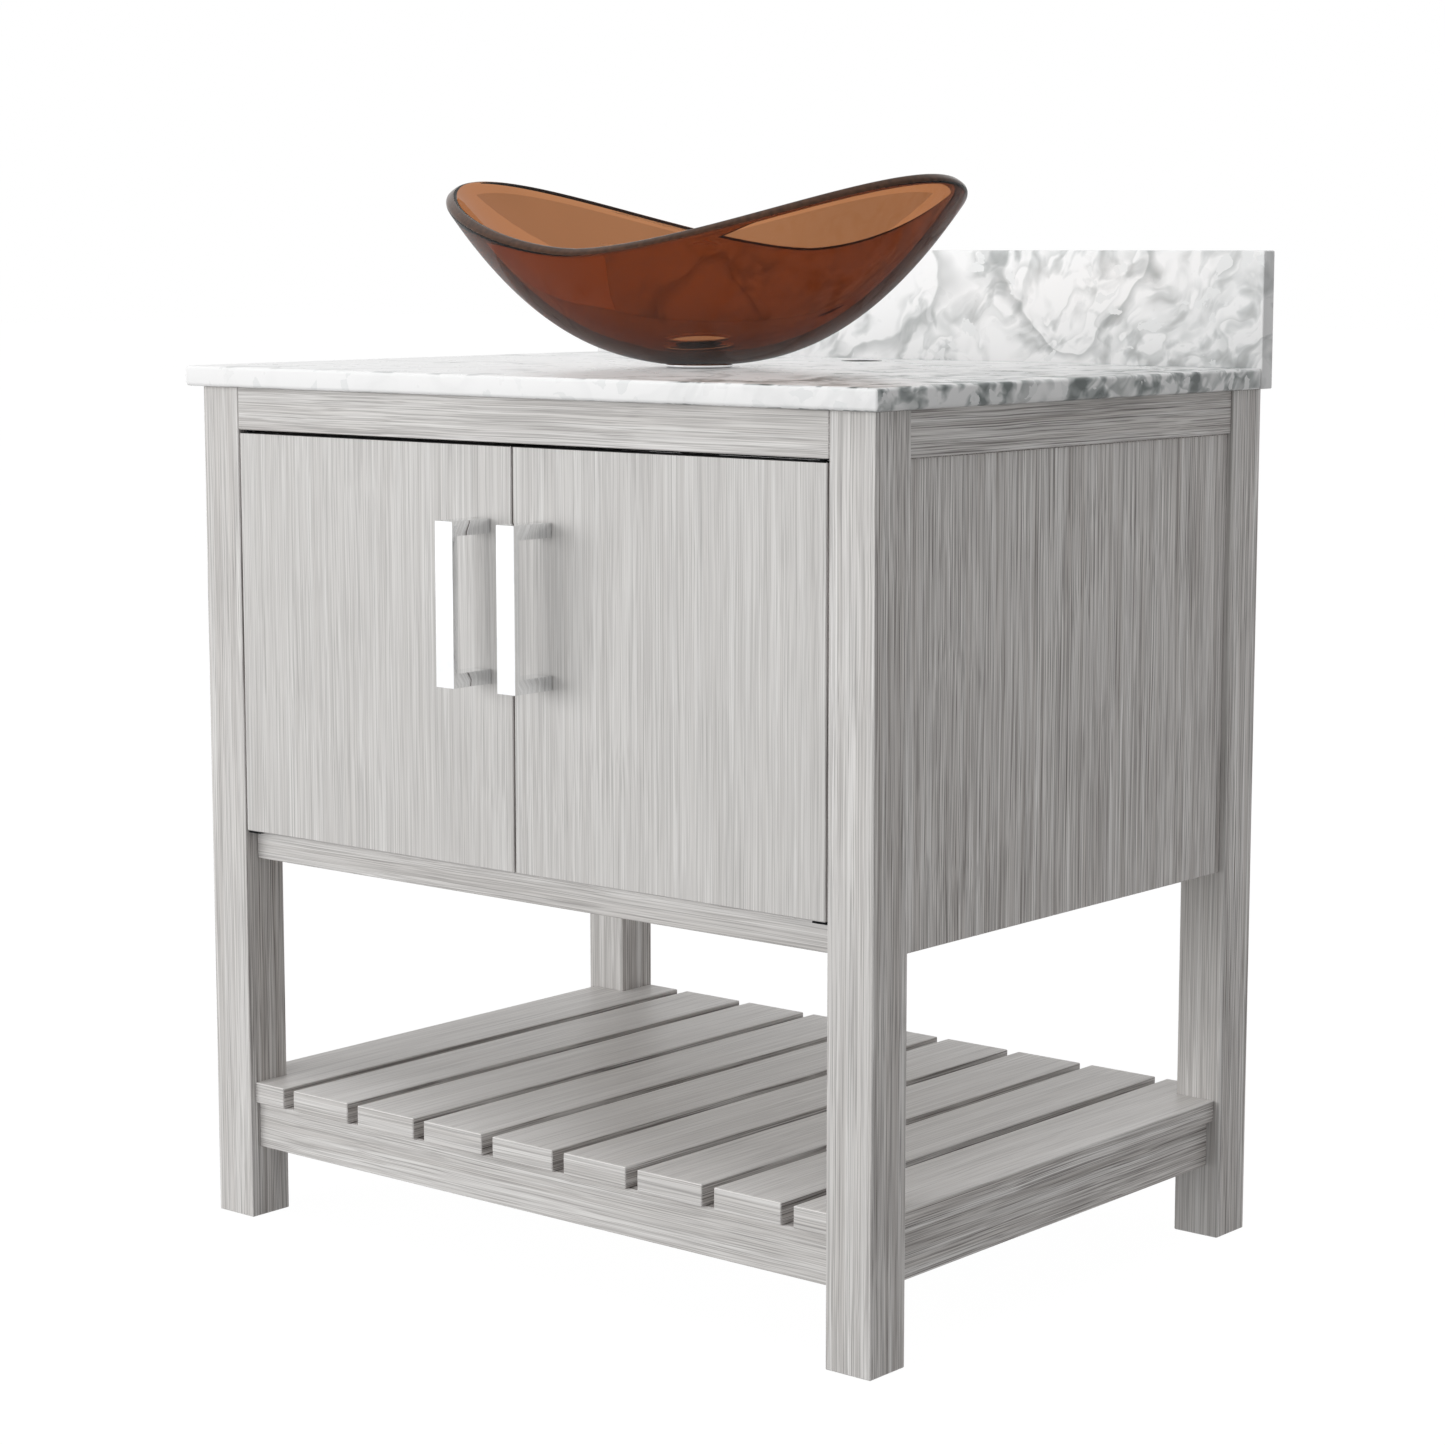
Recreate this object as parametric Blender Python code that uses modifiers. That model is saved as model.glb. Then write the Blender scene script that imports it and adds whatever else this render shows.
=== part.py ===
"""Vanity with a glass vessel bowl: metres, +Z up, -Y is the front, the floor is z = 0.

Every board, hole and fitting is worked out from the driving sizes below. "Depth" runs back from the legs'
front faces, and GAP is the play left between pieces that touch.
"""

from math import cos, hypot, pi, radians, sin

import bmesh
import bpy
from mathutils import Matrix

# ---- driving sizes: the whole ----
TOP_WIDTH = 0.762
CABINET_DEPTH = 0.5424
LEG_HEIGHT = 0.7413
GAP = 0.0003

# ---- countertop and backsplash ----
TOP_THICK = 0.0177
TOP_OVER_SIDE = 0.0107
TOP_OVER_FRONT = 0.012
TOP_OVER_BACK = 0.0006
TOP_ROUNDING = 0.003
SPLASH_THICK = 0.017
SPLASH_RISE = 0.0994
SPLASH_ROUNDING = 0.0012
FAUCET_HOLE_RADIUS = 0.018
FAUCET_FROM_SPLASH = 0.064

# ---- boards ----
LEG_WIDTH = 0.044
LEG_DEPTH = 0.0436
BOARD = 0.018
EDGE = 0.0007
TOP_RAIL_HIGH = 0.0366
BACK_RAIL_HIGH = 0.060
SIDE_RAIL_INSET = 0.0022
SIDE_PANEL_INSET = 0.0054
SIDE_PANEL_THICK = 0.015
CABINET_BOTTOM = 0.3254
BOTTOM_RAIL_HIGH = 0.0243
BOTTOM_RAIL_INSET = 0.013
FLOOR_THICK = 0.012
CORNER_BLOCK = 0.046
CORNER_BLOCK_HIGH = 0.032

# ---- shelf ----
SHELF_TOP = 0.1227
SLAT_THICK = 0.0183
SLAT_COUNT = 9
SLAT_GAP = 0.0124
OUTER_SLAT_SHARE = 1.0875  # width of the two outer slats, as a share of the others
SLAT_FRONT_INSET = 0.0055
SLAT_BACK_INSET = 0.0017
SHELF_SIDE_INSET = 0.006
SHELF_RAIL_HIGH = 0.0405
SHELF_RAIL_INSET = 0.0121
SHELF_RAIL_FRONT_INSET = 0.0095

# ---- doors, pulls and hinges ----
DOOR_REVEAL = 0.0024
DOOR_SIDE_GAP = 0.002
DOOR_CENTRE_GAP = 0.002
PIVOT_FROM_LEG = 0.009
PIVOT_DEPTH = 0.005
PIVOT_PIN_RADIUS = 0.0015
PIVOT_PLAY = 0.00025
PIVOT_ENGAGE = 0.009
LEAF_THICK = 0.0016
LEAF_LONG = 0.042
LEAF_WIDE = 0.010
LEAF_EDGE = 0.002
PULL_WIDTH = 0.0196
PULL_BAR = 0.006
PULL_HIGH = 0.1357
PULL_FOOT = 0.012
PULL_EDGE = 0.0005
PULL_REACH = 0.0445
PULL_BELOW_DOOR_TOP = 0.0596
PULL_FROM_CENTRE = 0.0341
SCREW_RADIUS = 0.002
SCREW_PLAY = 0.0003
SCREW_HEAD_RADIUS = 0.0042
SCREW_HEAD_HIGH = 0.0024
SCREW_ROUNDING = 0.0008
SCREW_IN_PULL = 0.011
THREAD_SPARE = 0.001
STRIKE_THICK = 0.001
STRIKE_WIDE = 0.018
STRIKE_HIGH = 0.018
STRIKE_INSET = 0.002
CATCH_WIDE = 0.044
CATCH_DEEP = 0.014
CATCH_ON_RAIL = 0.028

# ---- bowl, ring and drain ----
BOWL_FROM_FRONT = 0.2345
BOWL_LENGTH = 0.515
BOWL_WIDTH = 0.327
BOWL_WALL = 0.011
BOWL_SIDE_HIGH = 0.0922
BOWL_TIP_RISE = 0.0597
BOWL_TIP_POWER = 1.63
BOWL_WALL_POWER = 2.45
BOWL_RIM_ROUNDING = 0.0035
BOWL_SEAT_RADIUS = 0.034
BOWL_TIP_SOFTNESS = 0.0004
BOWL_RING_GATHER = 0.22
RING_HIGH = 0.0030
RING_RADIUS = 0.0285
DRAIN_HOLE_RADIUS = 0.0225
DRAIN_TUBE_RADIUS = 0.021
DRAIN_BORE_RADIUS = 0.0165
DRAIN_TUBE_BELOW = 0.038
FLANGE_RADIUS = 0.0315
FLANGE_THICK = 0.0012
FLANGE_LIP = 0.0006
FLANGE_FLARE_DEEP = 0.006
FLANGE_GASKET_THICK = 0.0008
FLANGE_GASKET_INSET = 0.002
NUT_FLAT_RADIUS = 0.029
NUT_HIGH = 0.010
WASHER_THICK = 0.004
WASHER_RADIUS = 0.032
TAILPIECE_RADIUS = 0.0159
TAILPIECE_WALL = 0.0015
TAILPIECE_LENGTH = 0.150
TAILPIECE_IN_DRAIN = 0.014
STOPPER_RADIUS = 0.0293
STOPPER_EDGE = 0.0018
STOPPER_CROWN = 0.0036
STOPPER_CROWN_POWER = 2.4
STOPPER_TRAVEL = 0.0045
STOPPER_STEM_RADIUS = 0.003
STEM_PLAY = 0.0004
SEAL_RADIUS = 0.0255
SEAL_THICK = 0.0012
BOSS_RADIUS = 0.0065
BOSS_HIGH = 0.008
BOSS_BELOW_FLANGE = 0.020
SPIDER_ARM = 0.003
COLLAR_HIGH = 0.003
COLLAR_RADIUS = 0.0048

# ---- worked out from the sizes above ----
FRONT = (PULL_REACH - CABINET_DEPTH - TOP_OVER_BACK) / 2
BACK = FRONT + CABINET_DEPTH
LEG_OUT = TOP_WIDTH / 2 - TOP_OVER_SIDE
LEG_IN = LEG_OUT - LEG_WIDTH
TOP_UNDER = LEG_HEIGHT + GAP
TOP_SURFACE = TOP_UNDER + TOP_THICK
TOP_BACK = BACK + TOP_OVER_BACK
RAIL_UNDER = LEG_HEIGHT - TOP_RAIL_HIGH
DOOR_TOP = RAIL_UNDER - DOOR_REVEAL
BOTTOM_RAIL_TOP = CABINET_BOTTOM + BOTTOM_RAIL_HIGH
DOOR_BOTTOM = BOTTOM_RAIL_TOP + DOOR_REVEAL
DOOR_BACK = FRONT + BOARD
DOOR_OUT = LEG_IN - DOOR_SIDE_GAP
DOOR_IN = DOOR_CENTRE_GAP / 2
PIVOT_X = LEG_IN - PIVOT_FROM_LEG
PIVOT_Y = FRONT + PIVOT_DEPTH
PIVOT_HOLE_RADIUS = PIVOT_PIN_RADIUS + PIVOT_PLAY
LEAF_MIDDLE_X = LEG_IN - LEAF_EDGE - GAP - DOOR_SIDE_GAP - LEAF_LONG / 2
LEAF_MIDDLE_Y = FRONT + LEAF_EDGE + LEAF_WIDE / 2
PULL_TOP = DOOR_TOP - PULL_BELOW_DOOR_TOP
SCREW_HEIGHTS = {"upper": PULL_TOP - PULL_FOOT / 2, "lower": PULL_TOP - PULL_HIGH + PULL_FOOT / 2}
SIDE_RAIL_OUT = LEG_OUT - SIDE_RAIL_INSET
SIDE_PANEL_OUT = LEG_OUT - SIDE_PANEL_INSET
PANEL_IN = SIDE_PANEL_OUT - SIDE_PANEL_THICK
SLAT_UNDER = SHELF_TOP - SLAT_THICK
SHELF_RAIL_TOP = SLAT_UNDER - GAP
BOWL_Y = FRONT + BOWL_FROM_FRONT
RING_UNDER = TOP_SURFACE + GAP
GLASS_UNDER = RING_UNDER + RING_HIGH + GAP
GLASS_FLOOR = GLASS_UNDER + BOWL_WALL
FLANGE_UNDER = GLASS_FLOOR + FLANGE_GASKET_THICK + 2 * GAP
FLANGE_TOP = FLANGE_UNDER + FLANGE_THICK
TUBE_END = TOP_UNDER - DRAIN_TUBE_BELOW
STOPPER_UNDER = FLANGE_TOP + GAP + STOPPER_TRAVEL + SEAL_THICK + GAP
BOSS_TOP = FLANGE_TOP - BOSS_BELOW_FLANGE
SIDES = {"left": -1, "right": 1}

parts = bpy.data.collections.new("vessel_sink_vanity")
cutters = bpy.data.collections.new("cutters")


def clear_scene():
    for old in list(bpy.data.objects):
        bpy.data.objects.remove(old, do_unlink=True)
    for group in (parts, cutters):
        bpy.context.scene.collection.children.link(group)
    cutters.hide_render = True


def material(name, color, roughness, metallic=0.0, transmission=0.0):
    """A Principled BSDF finish with linear colour values."""
    made = bpy.data.materials.new(name)
    made.use_nodes = True
    made.diffuse_color = (*color, 1.0)
    shader = made.node_tree.nodes["Principled BSDF"]
    shader.inputs["Base Color"].default_value = (*color, 1.0)
    shader.inputs["Roughness"].default_value = roughness
    shader.inputs["Metallic"].default_value = metallic
    shader.inputs["Transmission Weight"].default_value = transmission
    return made


# ---- helpers: an object in its collection, and its finish ----


def place(name, mesh, finish=None, location=(0, 0, 0)):
    made = bpy.data.objects.new(name, mesh)
    made.location = location
    if finish is None:
        cutters.objects.link(made)
        made.hide_render = True
        made.display_type = "WIRE"
    else:
        parts.objects.link(made)
        mesh.materials.append(finish)
    return made


def box(name, low, high, finish=None, edge=0.0, edge_steps=1):
    """A board between two opposite corners, its origin in its middle, with eased edges."""
    bm = bmesh.new()
    bmesh.ops.create_cube(bm, size=1.0)
    bmesh.ops.scale(bm, vec=[b - a for a, b in zip(low, high)], verts=bm.verts)
    mesh = bpy.data.meshes.new(name)
    bm.to_mesh(mesh)
    bm.free()
    made = place(name, mesh, finish, [(a + b) / 2 for a, b in zip(low, high)])
    if edge:
        ease(made, edge, edge_steps)
    return made


def ease(made, width, steps=1, angle=50):
    bevel = made.modifiers.new("eased edges", "BEVEL")
    bevel.width = width
    bevel.segments = steps
    bevel.limit_method = "ANGLE"
    bevel.angle_limit = radians(angle)
    return bevel


def rod(name, radius, middle, length, axis="Z", finish=None, sides=32):
    """A closed cylinder centred on a point."""
    bm = bmesh.new()
    bmesh.ops.create_cone(bm, cap_ends=True, segments=sides, radius1=radius, radius2=radius, depth=length)
    turn = {"X": Matrix.Rotation(pi / 2, 4, "Y"), "Y": Matrix.Rotation(pi / 2, 4, "X"), "Z": Matrix()}
    bmesh.ops.transform(bm, matrix=turn[axis], verts=bm.verts)
    mesh = bpy.data.meshes.new(name)
    bm.to_mesh(mesh)
    bm.free()
    return place(name, mesh, finish, middle)


def turned(name, profile, middle, finish, steps=48, axis="Z"):
    """A turned piece: (radius, height) points down its outer side, turned about its own Z by a Screw."""
    bm = bmesh.new()
    points = [bm.verts.new((radius, 0, height)) for radius, height in profile]
    for first, second in zip(points, points[1:]):
        bm.edges.new((first, second))
    if profile[0][0] > 0 and profile[-1][0] > 0:
        bm.edges.new((points[-1], points[0]))
    mesh = bpy.data.meshes.new(name)
    bm.to_mesh(mesh)
    bm.free()
    made = place(name, mesh, finish, middle)
    if axis == "Y":
        made.rotation_euler = (pi / 2, 0, 0)
    screw = made.modifiers.new("turn", "SCREW")
    screw.steps = screw.render_steps = steps
    screw.use_merge_vertices = True
    screw.merge_threshold = 0.00001
    screw.use_smooth_shade = True
    return made


def cut(piece, *tools):
    for tool in tools:
        boolean = piece.modifiers.new(f"cut {tool.name}", "BOOLEAN")
        boolean.operation = "DIFFERENCE"
        boolean.object = tool


def join(piece, *tools):
    for tool in tools:
        boolean = piece.modifiers.new(f"join {tool.name}", "BOOLEAN")
        boolean.operation = "UNION"
        boolean.object = tool


def mirrored(side, near, far):
    """The low and high X of a piece whose distances from the middle plane are near and far."""
    return (near, far) if side > 0 else (-far, -near)


def pivot(name, x, y, z):
    """An empty on a joint's axis, which the moving pieces are parented to."""
    made = bpy.data.objects.new(name, None)
    made.location = (x, y, z)
    made.empty_display_size = PIVOT_FROM_LEG
    parts.objects.link(made)
    return made


def hang(parent, *children):
    """Parents pieces to a pivot without moving them."""
    bpy.context.view_layer.update()
    for child in children:
        child.parent = parent
        child.matrix_parent_inverse = parent.matrix_world.inverted()


# ---- frame ----


def build_legs(wood):
    """Four square legs and, for what is notched round them, cutters one GAP larger."""
    notches = []
    for side_name, side in SIDES.items():
        for end_name, low_y in (("front", FRONT), ("back", BACK - LEG_DEPTH)):
            x0, x1 = mirrored(side, LEG_IN, LEG_OUT)
            low, high = (x0, low_y, 0), (x1, low_y + LEG_DEPTH, LEG_HEIGHT)
            box(f"leg_{end_name}_{side_name}", low, high, wood, EDGE)
            low, high = [v - GAP for v in low], [v + GAP for v in high]
            notches.append(box(f"notch_{end_name}_{side_name}", low, high))
    return notches


def build_rails(wood):
    """The rails between the legs: two at the front, two at the back and one at the top of each side."""
    span = LEG_IN - GAP
    bottom_front = FRONT + BOTTOM_RAIL_INSET
    box("front_top_rail", (-span, FRONT, RAIL_UNDER), (span, FRONT + BOARD, LEG_HEIGHT), wood, EDGE)
    box(
        "front_bottom_rail",
        (-span, bottom_front, CABINET_BOTTOM),
        (span, bottom_front + BOARD, BOTTOM_RAIL_TOP),
        wood,
        EDGE,
    )
    for end, bottom in (("top", LEG_HEIGHT - BACK_RAIL_HIGH), ("bottom", CABINET_BOTTOM)):
        low, high = (-span, BACK - BOARD, bottom), (span, BACK, bottom + BACK_RAIL_HIGH)
        box(f"back_{end}_rail", low, high, wood, EDGE)
    near_y, far_y = FRONT + LEG_DEPTH + GAP, BACK - LEG_DEPTH - GAP
    for name, side in SIDES.items():
        x0, x1 = mirrored(side, SIDE_RAIL_OUT - BOARD, SIDE_RAIL_OUT)
        box(f"side_top_rail_{name}", (x0, near_y, RAIL_UNDER), (x1, far_y, LEG_HEIGHT), wood, EDGE)


def build_carcass(wood, plain, notches):
    """Side panels, the cabinet floor notched round the legs, and the four corner blocks."""
    near_y, far_y = FRONT + LEG_DEPTH + GAP, BACK - LEG_DEPTH - GAP
    for name, side in SIDES.items():
        x0, x1 = mirrored(side, PANEL_IN, SIDE_PANEL_OUT)
        low, high = (x0, near_y, CABINET_BOTTOM), (x1, far_y, RAIL_UNDER - GAP)
        box(f"side_panel_{name}", low, high, wood, EDGE)
        block_out = SIDE_RAIL_OUT - BOARD - GAP
        for end, y, step in (("front", near_y, 1), ("back", far_y, -1)):
            corner_block(f"corner_block_{end}_{name}", side, block_out, y, step, plain)
    floor_front = FRONT + BOTTOM_RAIL_INSET + BOARD + GAP
    low = (-(PANEL_IN - GAP), floor_front, CABINET_BOTTOM)
    high = (PANEL_IN - GAP, BACK - BOARD - GAP, CABINET_BOTTOM + FLOOR_THICK)
    cut(box("cabinet_floor", low, high, plain), *notches)


def corner_block(name, side, outer, y, step, finish):
    """A triangular block in the corner between a leg's back and a side rail, flush under the countertop."""
    outline = [(outer, y), (outer, y + step * CORNER_BLOCK), (outer - CORNER_BLOCK, y)]
    curve = bpy.data.curves.new(name, "CURVE")
    curve.dimensions = "2D"
    curve.fill_mode = "BOTH"
    curve.extrude = CORNER_BLOCK_HIGH / 2
    line = curve.splines.new("POLY")
    line.points.add(len(outline) - 1)
    for point, (x, depth) in zip(line.points, outline):
        point.co = (side * x, depth, 0, 1)
    line.use_cyclic_u = True
    curve.materials.append(finish)
    made = bpy.data.objects.new(name, curve)
    made.location = (0, 0, LEG_HEIGHT - CORNER_BLOCK_HIGH / 2)
    parts.objects.link(made)


def build_shelf(wood, notches):
    """Four rails between the legs, and the slats that lie on them from front to back."""
    top, bottom = SHELF_RAIL_TOP, SHELF_RAIL_TOP - SHELF_RAIL_HIGH
    span = LEG_IN - GAP
    for name, y in (("front", FRONT + SHELF_RAIL_FRONT_INSET), ("back", BACK - SHELF_RAIL_INSET - BOARD)):
        box(f"shelf_rail_{name}", (-span, y, bottom), (span, y + BOARD, top), wood, EDGE)
    near_y, far_y = FRONT + LEG_DEPTH + GAP, BACK - LEG_DEPTH - GAP
    for name, side in SIDES.items():
        outer = LEG_OUT - SHELF_RAIL_INSET
        x0, x1 = mirrored(side, outer - BOARD, outer)
        box(f"shelf_rail_{name}", (x0, near_y, bottom), (x1, far_y, top), wood, EDGE)
    build_slats(wood, notches)


def build_slats(wood, notches):
    """Slats side by side; the two outer ones are a little wider and notched round the legs."""
    outer = LEG_OUT - SHELF_SIDE_INSET
    shares = SLAT_COUNT - 2 + 2 * OUTER_SLAT_SHARE
    width = (2 * outer - (SLAT_COUNT - 1) * SLAT_GAP) / shares
    front, back = FRONT + SLAT_FRONT_INSET, BACK - SLAT_BACK_INSET
    x0 = -outer
    for index in range(SLAT_COUNT):
        at_end = index in (0, SLAT_COUNT - 1)
        x1 = x0 + width * (OUTER_SLAT_SHARE if at_end else 1)
        slat = box(f"shelf_slat_{index + 1}", (x0, front, SLAT_UNDER), (x1, back, SHELF_TOP), wood, EDGE)
        if at_end:
            cut(slat, *notches)
        x0 = x1 + SLAT_GAP


# ---- stone ----


def build_stone(marble):
    """The countertop with its faucet and drain holes, and the backsplash that stands behind it."""
    half = TOP_WIDTH / 2
    splash_front = TOP_BACK - SPLASH_THICK
    low = (-half, FRONT - TOP_OVER_FRONT, TOP_UNDER)
    high = (half, splash_front - GAP, TOP_SURFACE)
    top = box("countertop", low, high, marble, TOP_ROUNDING, 3)
    middle, deep = (TOP_UNDER + TOP_SURFACE) / 2, 2 * TOP_THICK
    faucet_y = splash_front - FAUCET_FROM_SPLASH
    cut(
        top,
        rod("faucet_hole", FAUCET_HOLE_RADIUS, (0, faucet_y, middle), deep, sides=48),
        rod("drain_hole", DRAIN_HOLE_RADIUS, (0, BOWL_Y, middle), deep, sides=48),
    )
    low, high = (-half, splash_front, TOP_UNDER), (half, TOP_BACK, TOP_SURFACE + SPLASH_RISE)
    box("backsplash", low, high, marble, SPLASH_ROUNDING, 2)


# ---- doors ----


def build_door(name, side, wood, metal, steel):
    """A slab door on its pivot, with its pull, two screws, two hinge leaves and a strike plate."""
    x0, x1 = mirrored(side, DOOR_IN, DOOR_OUT)
    door = box(f"door_{name}", (x0, FRONT, DOOR_BOTTOM), (x1, DOOR_BACK, DOOR_TOP), wood, EDGE)
    pull_x = side * PULL_FROM_CENTRE
    riders = [door, build_pull(name, pull_x, metal)]
    for height_name, z in SCREW_HEIGHTS.items():
        hole_name, middle = f"screw_hole_{name}_{height_name}", (pull_x, FRONT, z)
        cut(door, rod(hole_name, SCREW_RADIUS + SCREW_PLAY, middle, 4 * BOARD, "Y"))
        riders.append(build_screw(f"pull_screw_{name}_{height_name}", pull_x, z, steel))
    for end, edge_z, inward in (("top", DOOR_TOP, -1), ("bottom", DOOR_BOTTOM, 1)):
        leaf, mortise = build_door_leaf(f"{end}_{name}", side, edge_z, inward, steel)
        cut(door, *mortise)
        riders.append(leaf)
        build_fixed_leaf(f"{end}_{name}", side, end, steel)
    riders.append(build_strike(name, side, steel))
    hang(pivot(f"door_pivot_{name}", side * PIVOT_X, PIVOT_Y, (DOOR_TOP + DOOR_BOTTOM) / 2), *riders)


def build_pull(name, x, metal):
    """A square-cornered C: a flat bar and two feet, drilled from the back for its screws."""
    bar_front, foot_end = FRONT - PULL_REACH, FRONT - GAP
    half = PULL_WIDTH / 2
    bottom = PULL_TOP - PULL_HIGH
    low, high = (x - half, bar_front, bottom), (x + half, foot_end, PULL_TOP)
    pull = box(f"pull_{name}", low, high, metal, PULL_EDGE)
    low = (x - PULL_WIDTH, bar_front + PULL_BAR, bottom + PULL_FOOT)
    high = (x + PULL_WIDTH, foot_end + PULL_BAR, PULL_TOP - PULL_FOOT)
    cut(pull, box(f"finger_gap_{name}", low, high))
    depth = SCREW_IN_PULL + THREAD_SPARE
    for height_name, z in SCREW_HEIGHTS.items():
        middle = (x, foot_end - depth / 2 + GAP, z)
        tool_name = f"pull_thread_{name}_{height_name}"
        cut(pull, rod(tool_name, SCREW_RADIUS + SCREW_PLAY, middle, depth + 2 * GAP, "Y", sides=16))
    return pull


def build_screw(name, x, z, steel):
    """A pan-head machine screw from behind the door into the pull's foot."""
    seat = GAP
    length = GAP + BOARD + GAP + SCREW_IN_PULL
    rounding = SCREW_ROUNDING
    profile = [
        (0, -seat - SCREW_HEAD_HIGH),
        (SCREW_HEAD_RADIUS - rounding, -seat - SCREW_HEAD_HIGH),
        (SCREW_HEAD_RADIUS, -seat - SCREW_HEAD_HIGH + rounding),
        (SCREW_HEAD_RADIUS, -seat),
        (SCREW_RADIUS, -seat),
        (SCREW_RADIUS, length - seat - rounding),
        (SCREW_RADIUS - rounding, length - seat),
        (0, length - seat),
    ]
    return turned(name, profile[::-1], (x, DOOR_BACK, z), steel, 20, "Y")


def build_door_leaf(name, side, edge_z, inward, steel):
    """A plate let in flush with the door's edge, with the pin's hole, and the mortise and bore it needs."""
    half_x, half_y = LEAF_LONG / 2, LEAF_WIDE / 2
    deep_z = edge_z + inward * LEAF_THICK
    middle_x = side * LEAF_MIDDLE_X
    low = (middle_x - half_x, LEAF_MIDDLE_Y - half_y, min(edge_z, deep_z))
    high = (middle_x + half_x, LEAF_MIDDLE_Y + half_y, max(edge_z, deep_z))
    leaf = box(f"hinge_leaf_{name}", low, high, steel)
    pin_at = (side * PIVOT_X, PIVOT_Y, edge_z)
    cut(leaf, rod(f"leaf_hole_{name}", PIVOT_HOLE_RADIUS, pin_at, 4 * LEAF_THICK, sides=24))
    wide_low, wide_high = [v - GAP for v in low], [v + GAP for v in high]
    if inward < 0:
        wide_high[2] = edge_z + LEAF_THICK
    else:
        wide_low[2] = edge_z - LEAF_THICK
    bore_reach = 2 * (PIVOT_ENGAGE + DOOR_REVEAL + GAP)
    bore = rod(f"pin_bore_{name}", PIVOT_HOLE_RADIUS + GAP, pin_at, bore_reach, sides=24)
    return leaf, (box(f"mortise_{name}", wide_low, wide_high), bore)


def build_fixed_leaf(name, side, end, steel):
    """The cabinet's leaf, in the top rail or on the bottom one, with its pin and shoulder."""
    half_x, half_y = LEAF_LONG / 2, LEAF_WIDE / 2
    middle_x = side * LEAF_MIDDLE_X
    if end == "top":
        under, step, door_edge = RAIL_UNDER, -1, DOOR_TOP
        low = (middle_x - half_x, LEAF_MIDDLE_Y - half_y, under)
        high = (middle_x + half_x, LEAF_MIDDLE_Y + half_y, under + LEAF_THICK)
        face = under
    else:
        base = BOTTOM_RAIL_TOP + GAP
        step, door_edge = 1, DOOR_BOTTOM
        arm = 2 * (PIVOT_FROM_LEG - LEAF_EDGE)
        x0, x1 = mirrored(side, LEG_IN - LEAF_EDGE - arm, LEG_IN - LEAF_EDGE)
        arm_back = DOOR_BACK + BOTTOM_RAIL_INSET - LEAF_EDGE
        low, high = (x0, FRONT + LEAF_EDGE, base), (x1, arm_back, base + LEAF_THICK)
        face = base + LEAF_THICK
    leaf = box(f"hinge_pin_leaf_{name}", low, high, steel)
    shoulder_end = door_edge - step * GAP
    pin_end = door_edge + step * PIVOT_ENGAGE
    root = face - step * LEAF_THICK / 2
    lengths = (("pin", PIVOT_PIN_RADIUS, pin_end), ("shoulder", 2 * PIVOT_PIN_RADIUS, shoulder_end))
    for label, radius, tip in lengths:
        middle = (side * PIVOT_X, PIVOT_Y, (root + tip) / 2)
        join(leaf, rod(f"{label}_{name}", radius, middle, abs(tip - root), sides=24))
    if end == "top":
        wide_low, wide_high = [v - GAP for v in low], [v + GAP for v in high]
        wide_low[2] = under - LEAF_THICK
        cut(bpy.data.objects["front_top_rail"], box(f"rail_mortise_{name}", wide_low, wide_high))


def build_strike(name, side, steel):
    """The thin plate on the door's back that the catch's magnet holds."""
    x0, x1 = mirrored(side, DOOR_IN + STRIKE_INSET, DOOR_IN + STRIKE_INSET + STRIKE_WIDE)
    low = (x0, DOOR_BACK + GAP, DOOR_TOP - STRIKE_INSET - STRIKE_HIGH)
    high = (x1, DOOR_BACK + GAP + STRIKE_THICK, DOOR_TOP - STRIKE_INSET)
    return box(f"strike_plate_{name}", low, high, steel)


def build_catch(plastic):
    """A double magnetic catch: its back plate on the top rail, and its nose stopping both doors."""
    half = CATCH_WIDE / 2
    rail_back = FRONT + BOARD + GAP
    nose_front = DOOR_BACK + STRIKE_THICK + 2 * GAP
    low = (-half, nose_front, DOOR_TOP - STRIKE_INSET - STRIKE_HIGH)
    catch = box("magnetic_catch", low, (half, rail_back + CATCH_DEEP, RAIL_UNDER + CATCH_ON_RAIL), plastic)
    root = (nose_front + rail_back + CATCH_DEEP) / 2
    pad = box("catch_pad", (-half, rail_back, RAIL_UNDER), (half, root, RAIL_UNDER + CATCH_ON_RAIL))
    join(catch, pad)


# ---- bowl and drain ----


def bowl_rim_height(angle):
    """Height of the rim's outer edge above the seat: low at the sides, high at the two tips."""
    rise = (cos(angle) ** 2 + BOWL_TIP_SOFTNESS) ** (BOWL_TIP_POWER / 2)
    return BOWL_SIDE_HIGH + BOWL_TIP_RISE * rise


def bowl_point(share, angle):
    """A point of the outer surface: share 0 is the edge of the flat seat, share 1 the rim."""
    half_long, half_wide = BOWL_LENGTH / 2, BOWL_WIDTH / 2
    x = (BOWL_SEAT_RADIUS + (half_long - BOWL_SEAT_RADIUS) * share) * cos(angle)
    y = (BOWL_SEAT_RADIUS + (half_wide - BOWL_SEAT_RADIUS) * share) * sin(angle)
    reach = hypot(x / half_long, y / half_wide)
    here = reach**BOWL_WALL_POWER
    flat = (reach * BOWL_SEAT_RADIUS / hypot(x, y)) ** BOWL_WALL_POWER
    return x, y, bowl_rim_height(angle) * (here - flat) / (1 - flat)


def bowl_angles(count):
    """Angles round the rim, drawn together towards the two tips, where the plan curves most."""
    turn = [2 * pi * index / count for index in range(count)]
    return [angle - BOWL_RING_GATHER * sin(2 * angle) for angle in turn]


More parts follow.
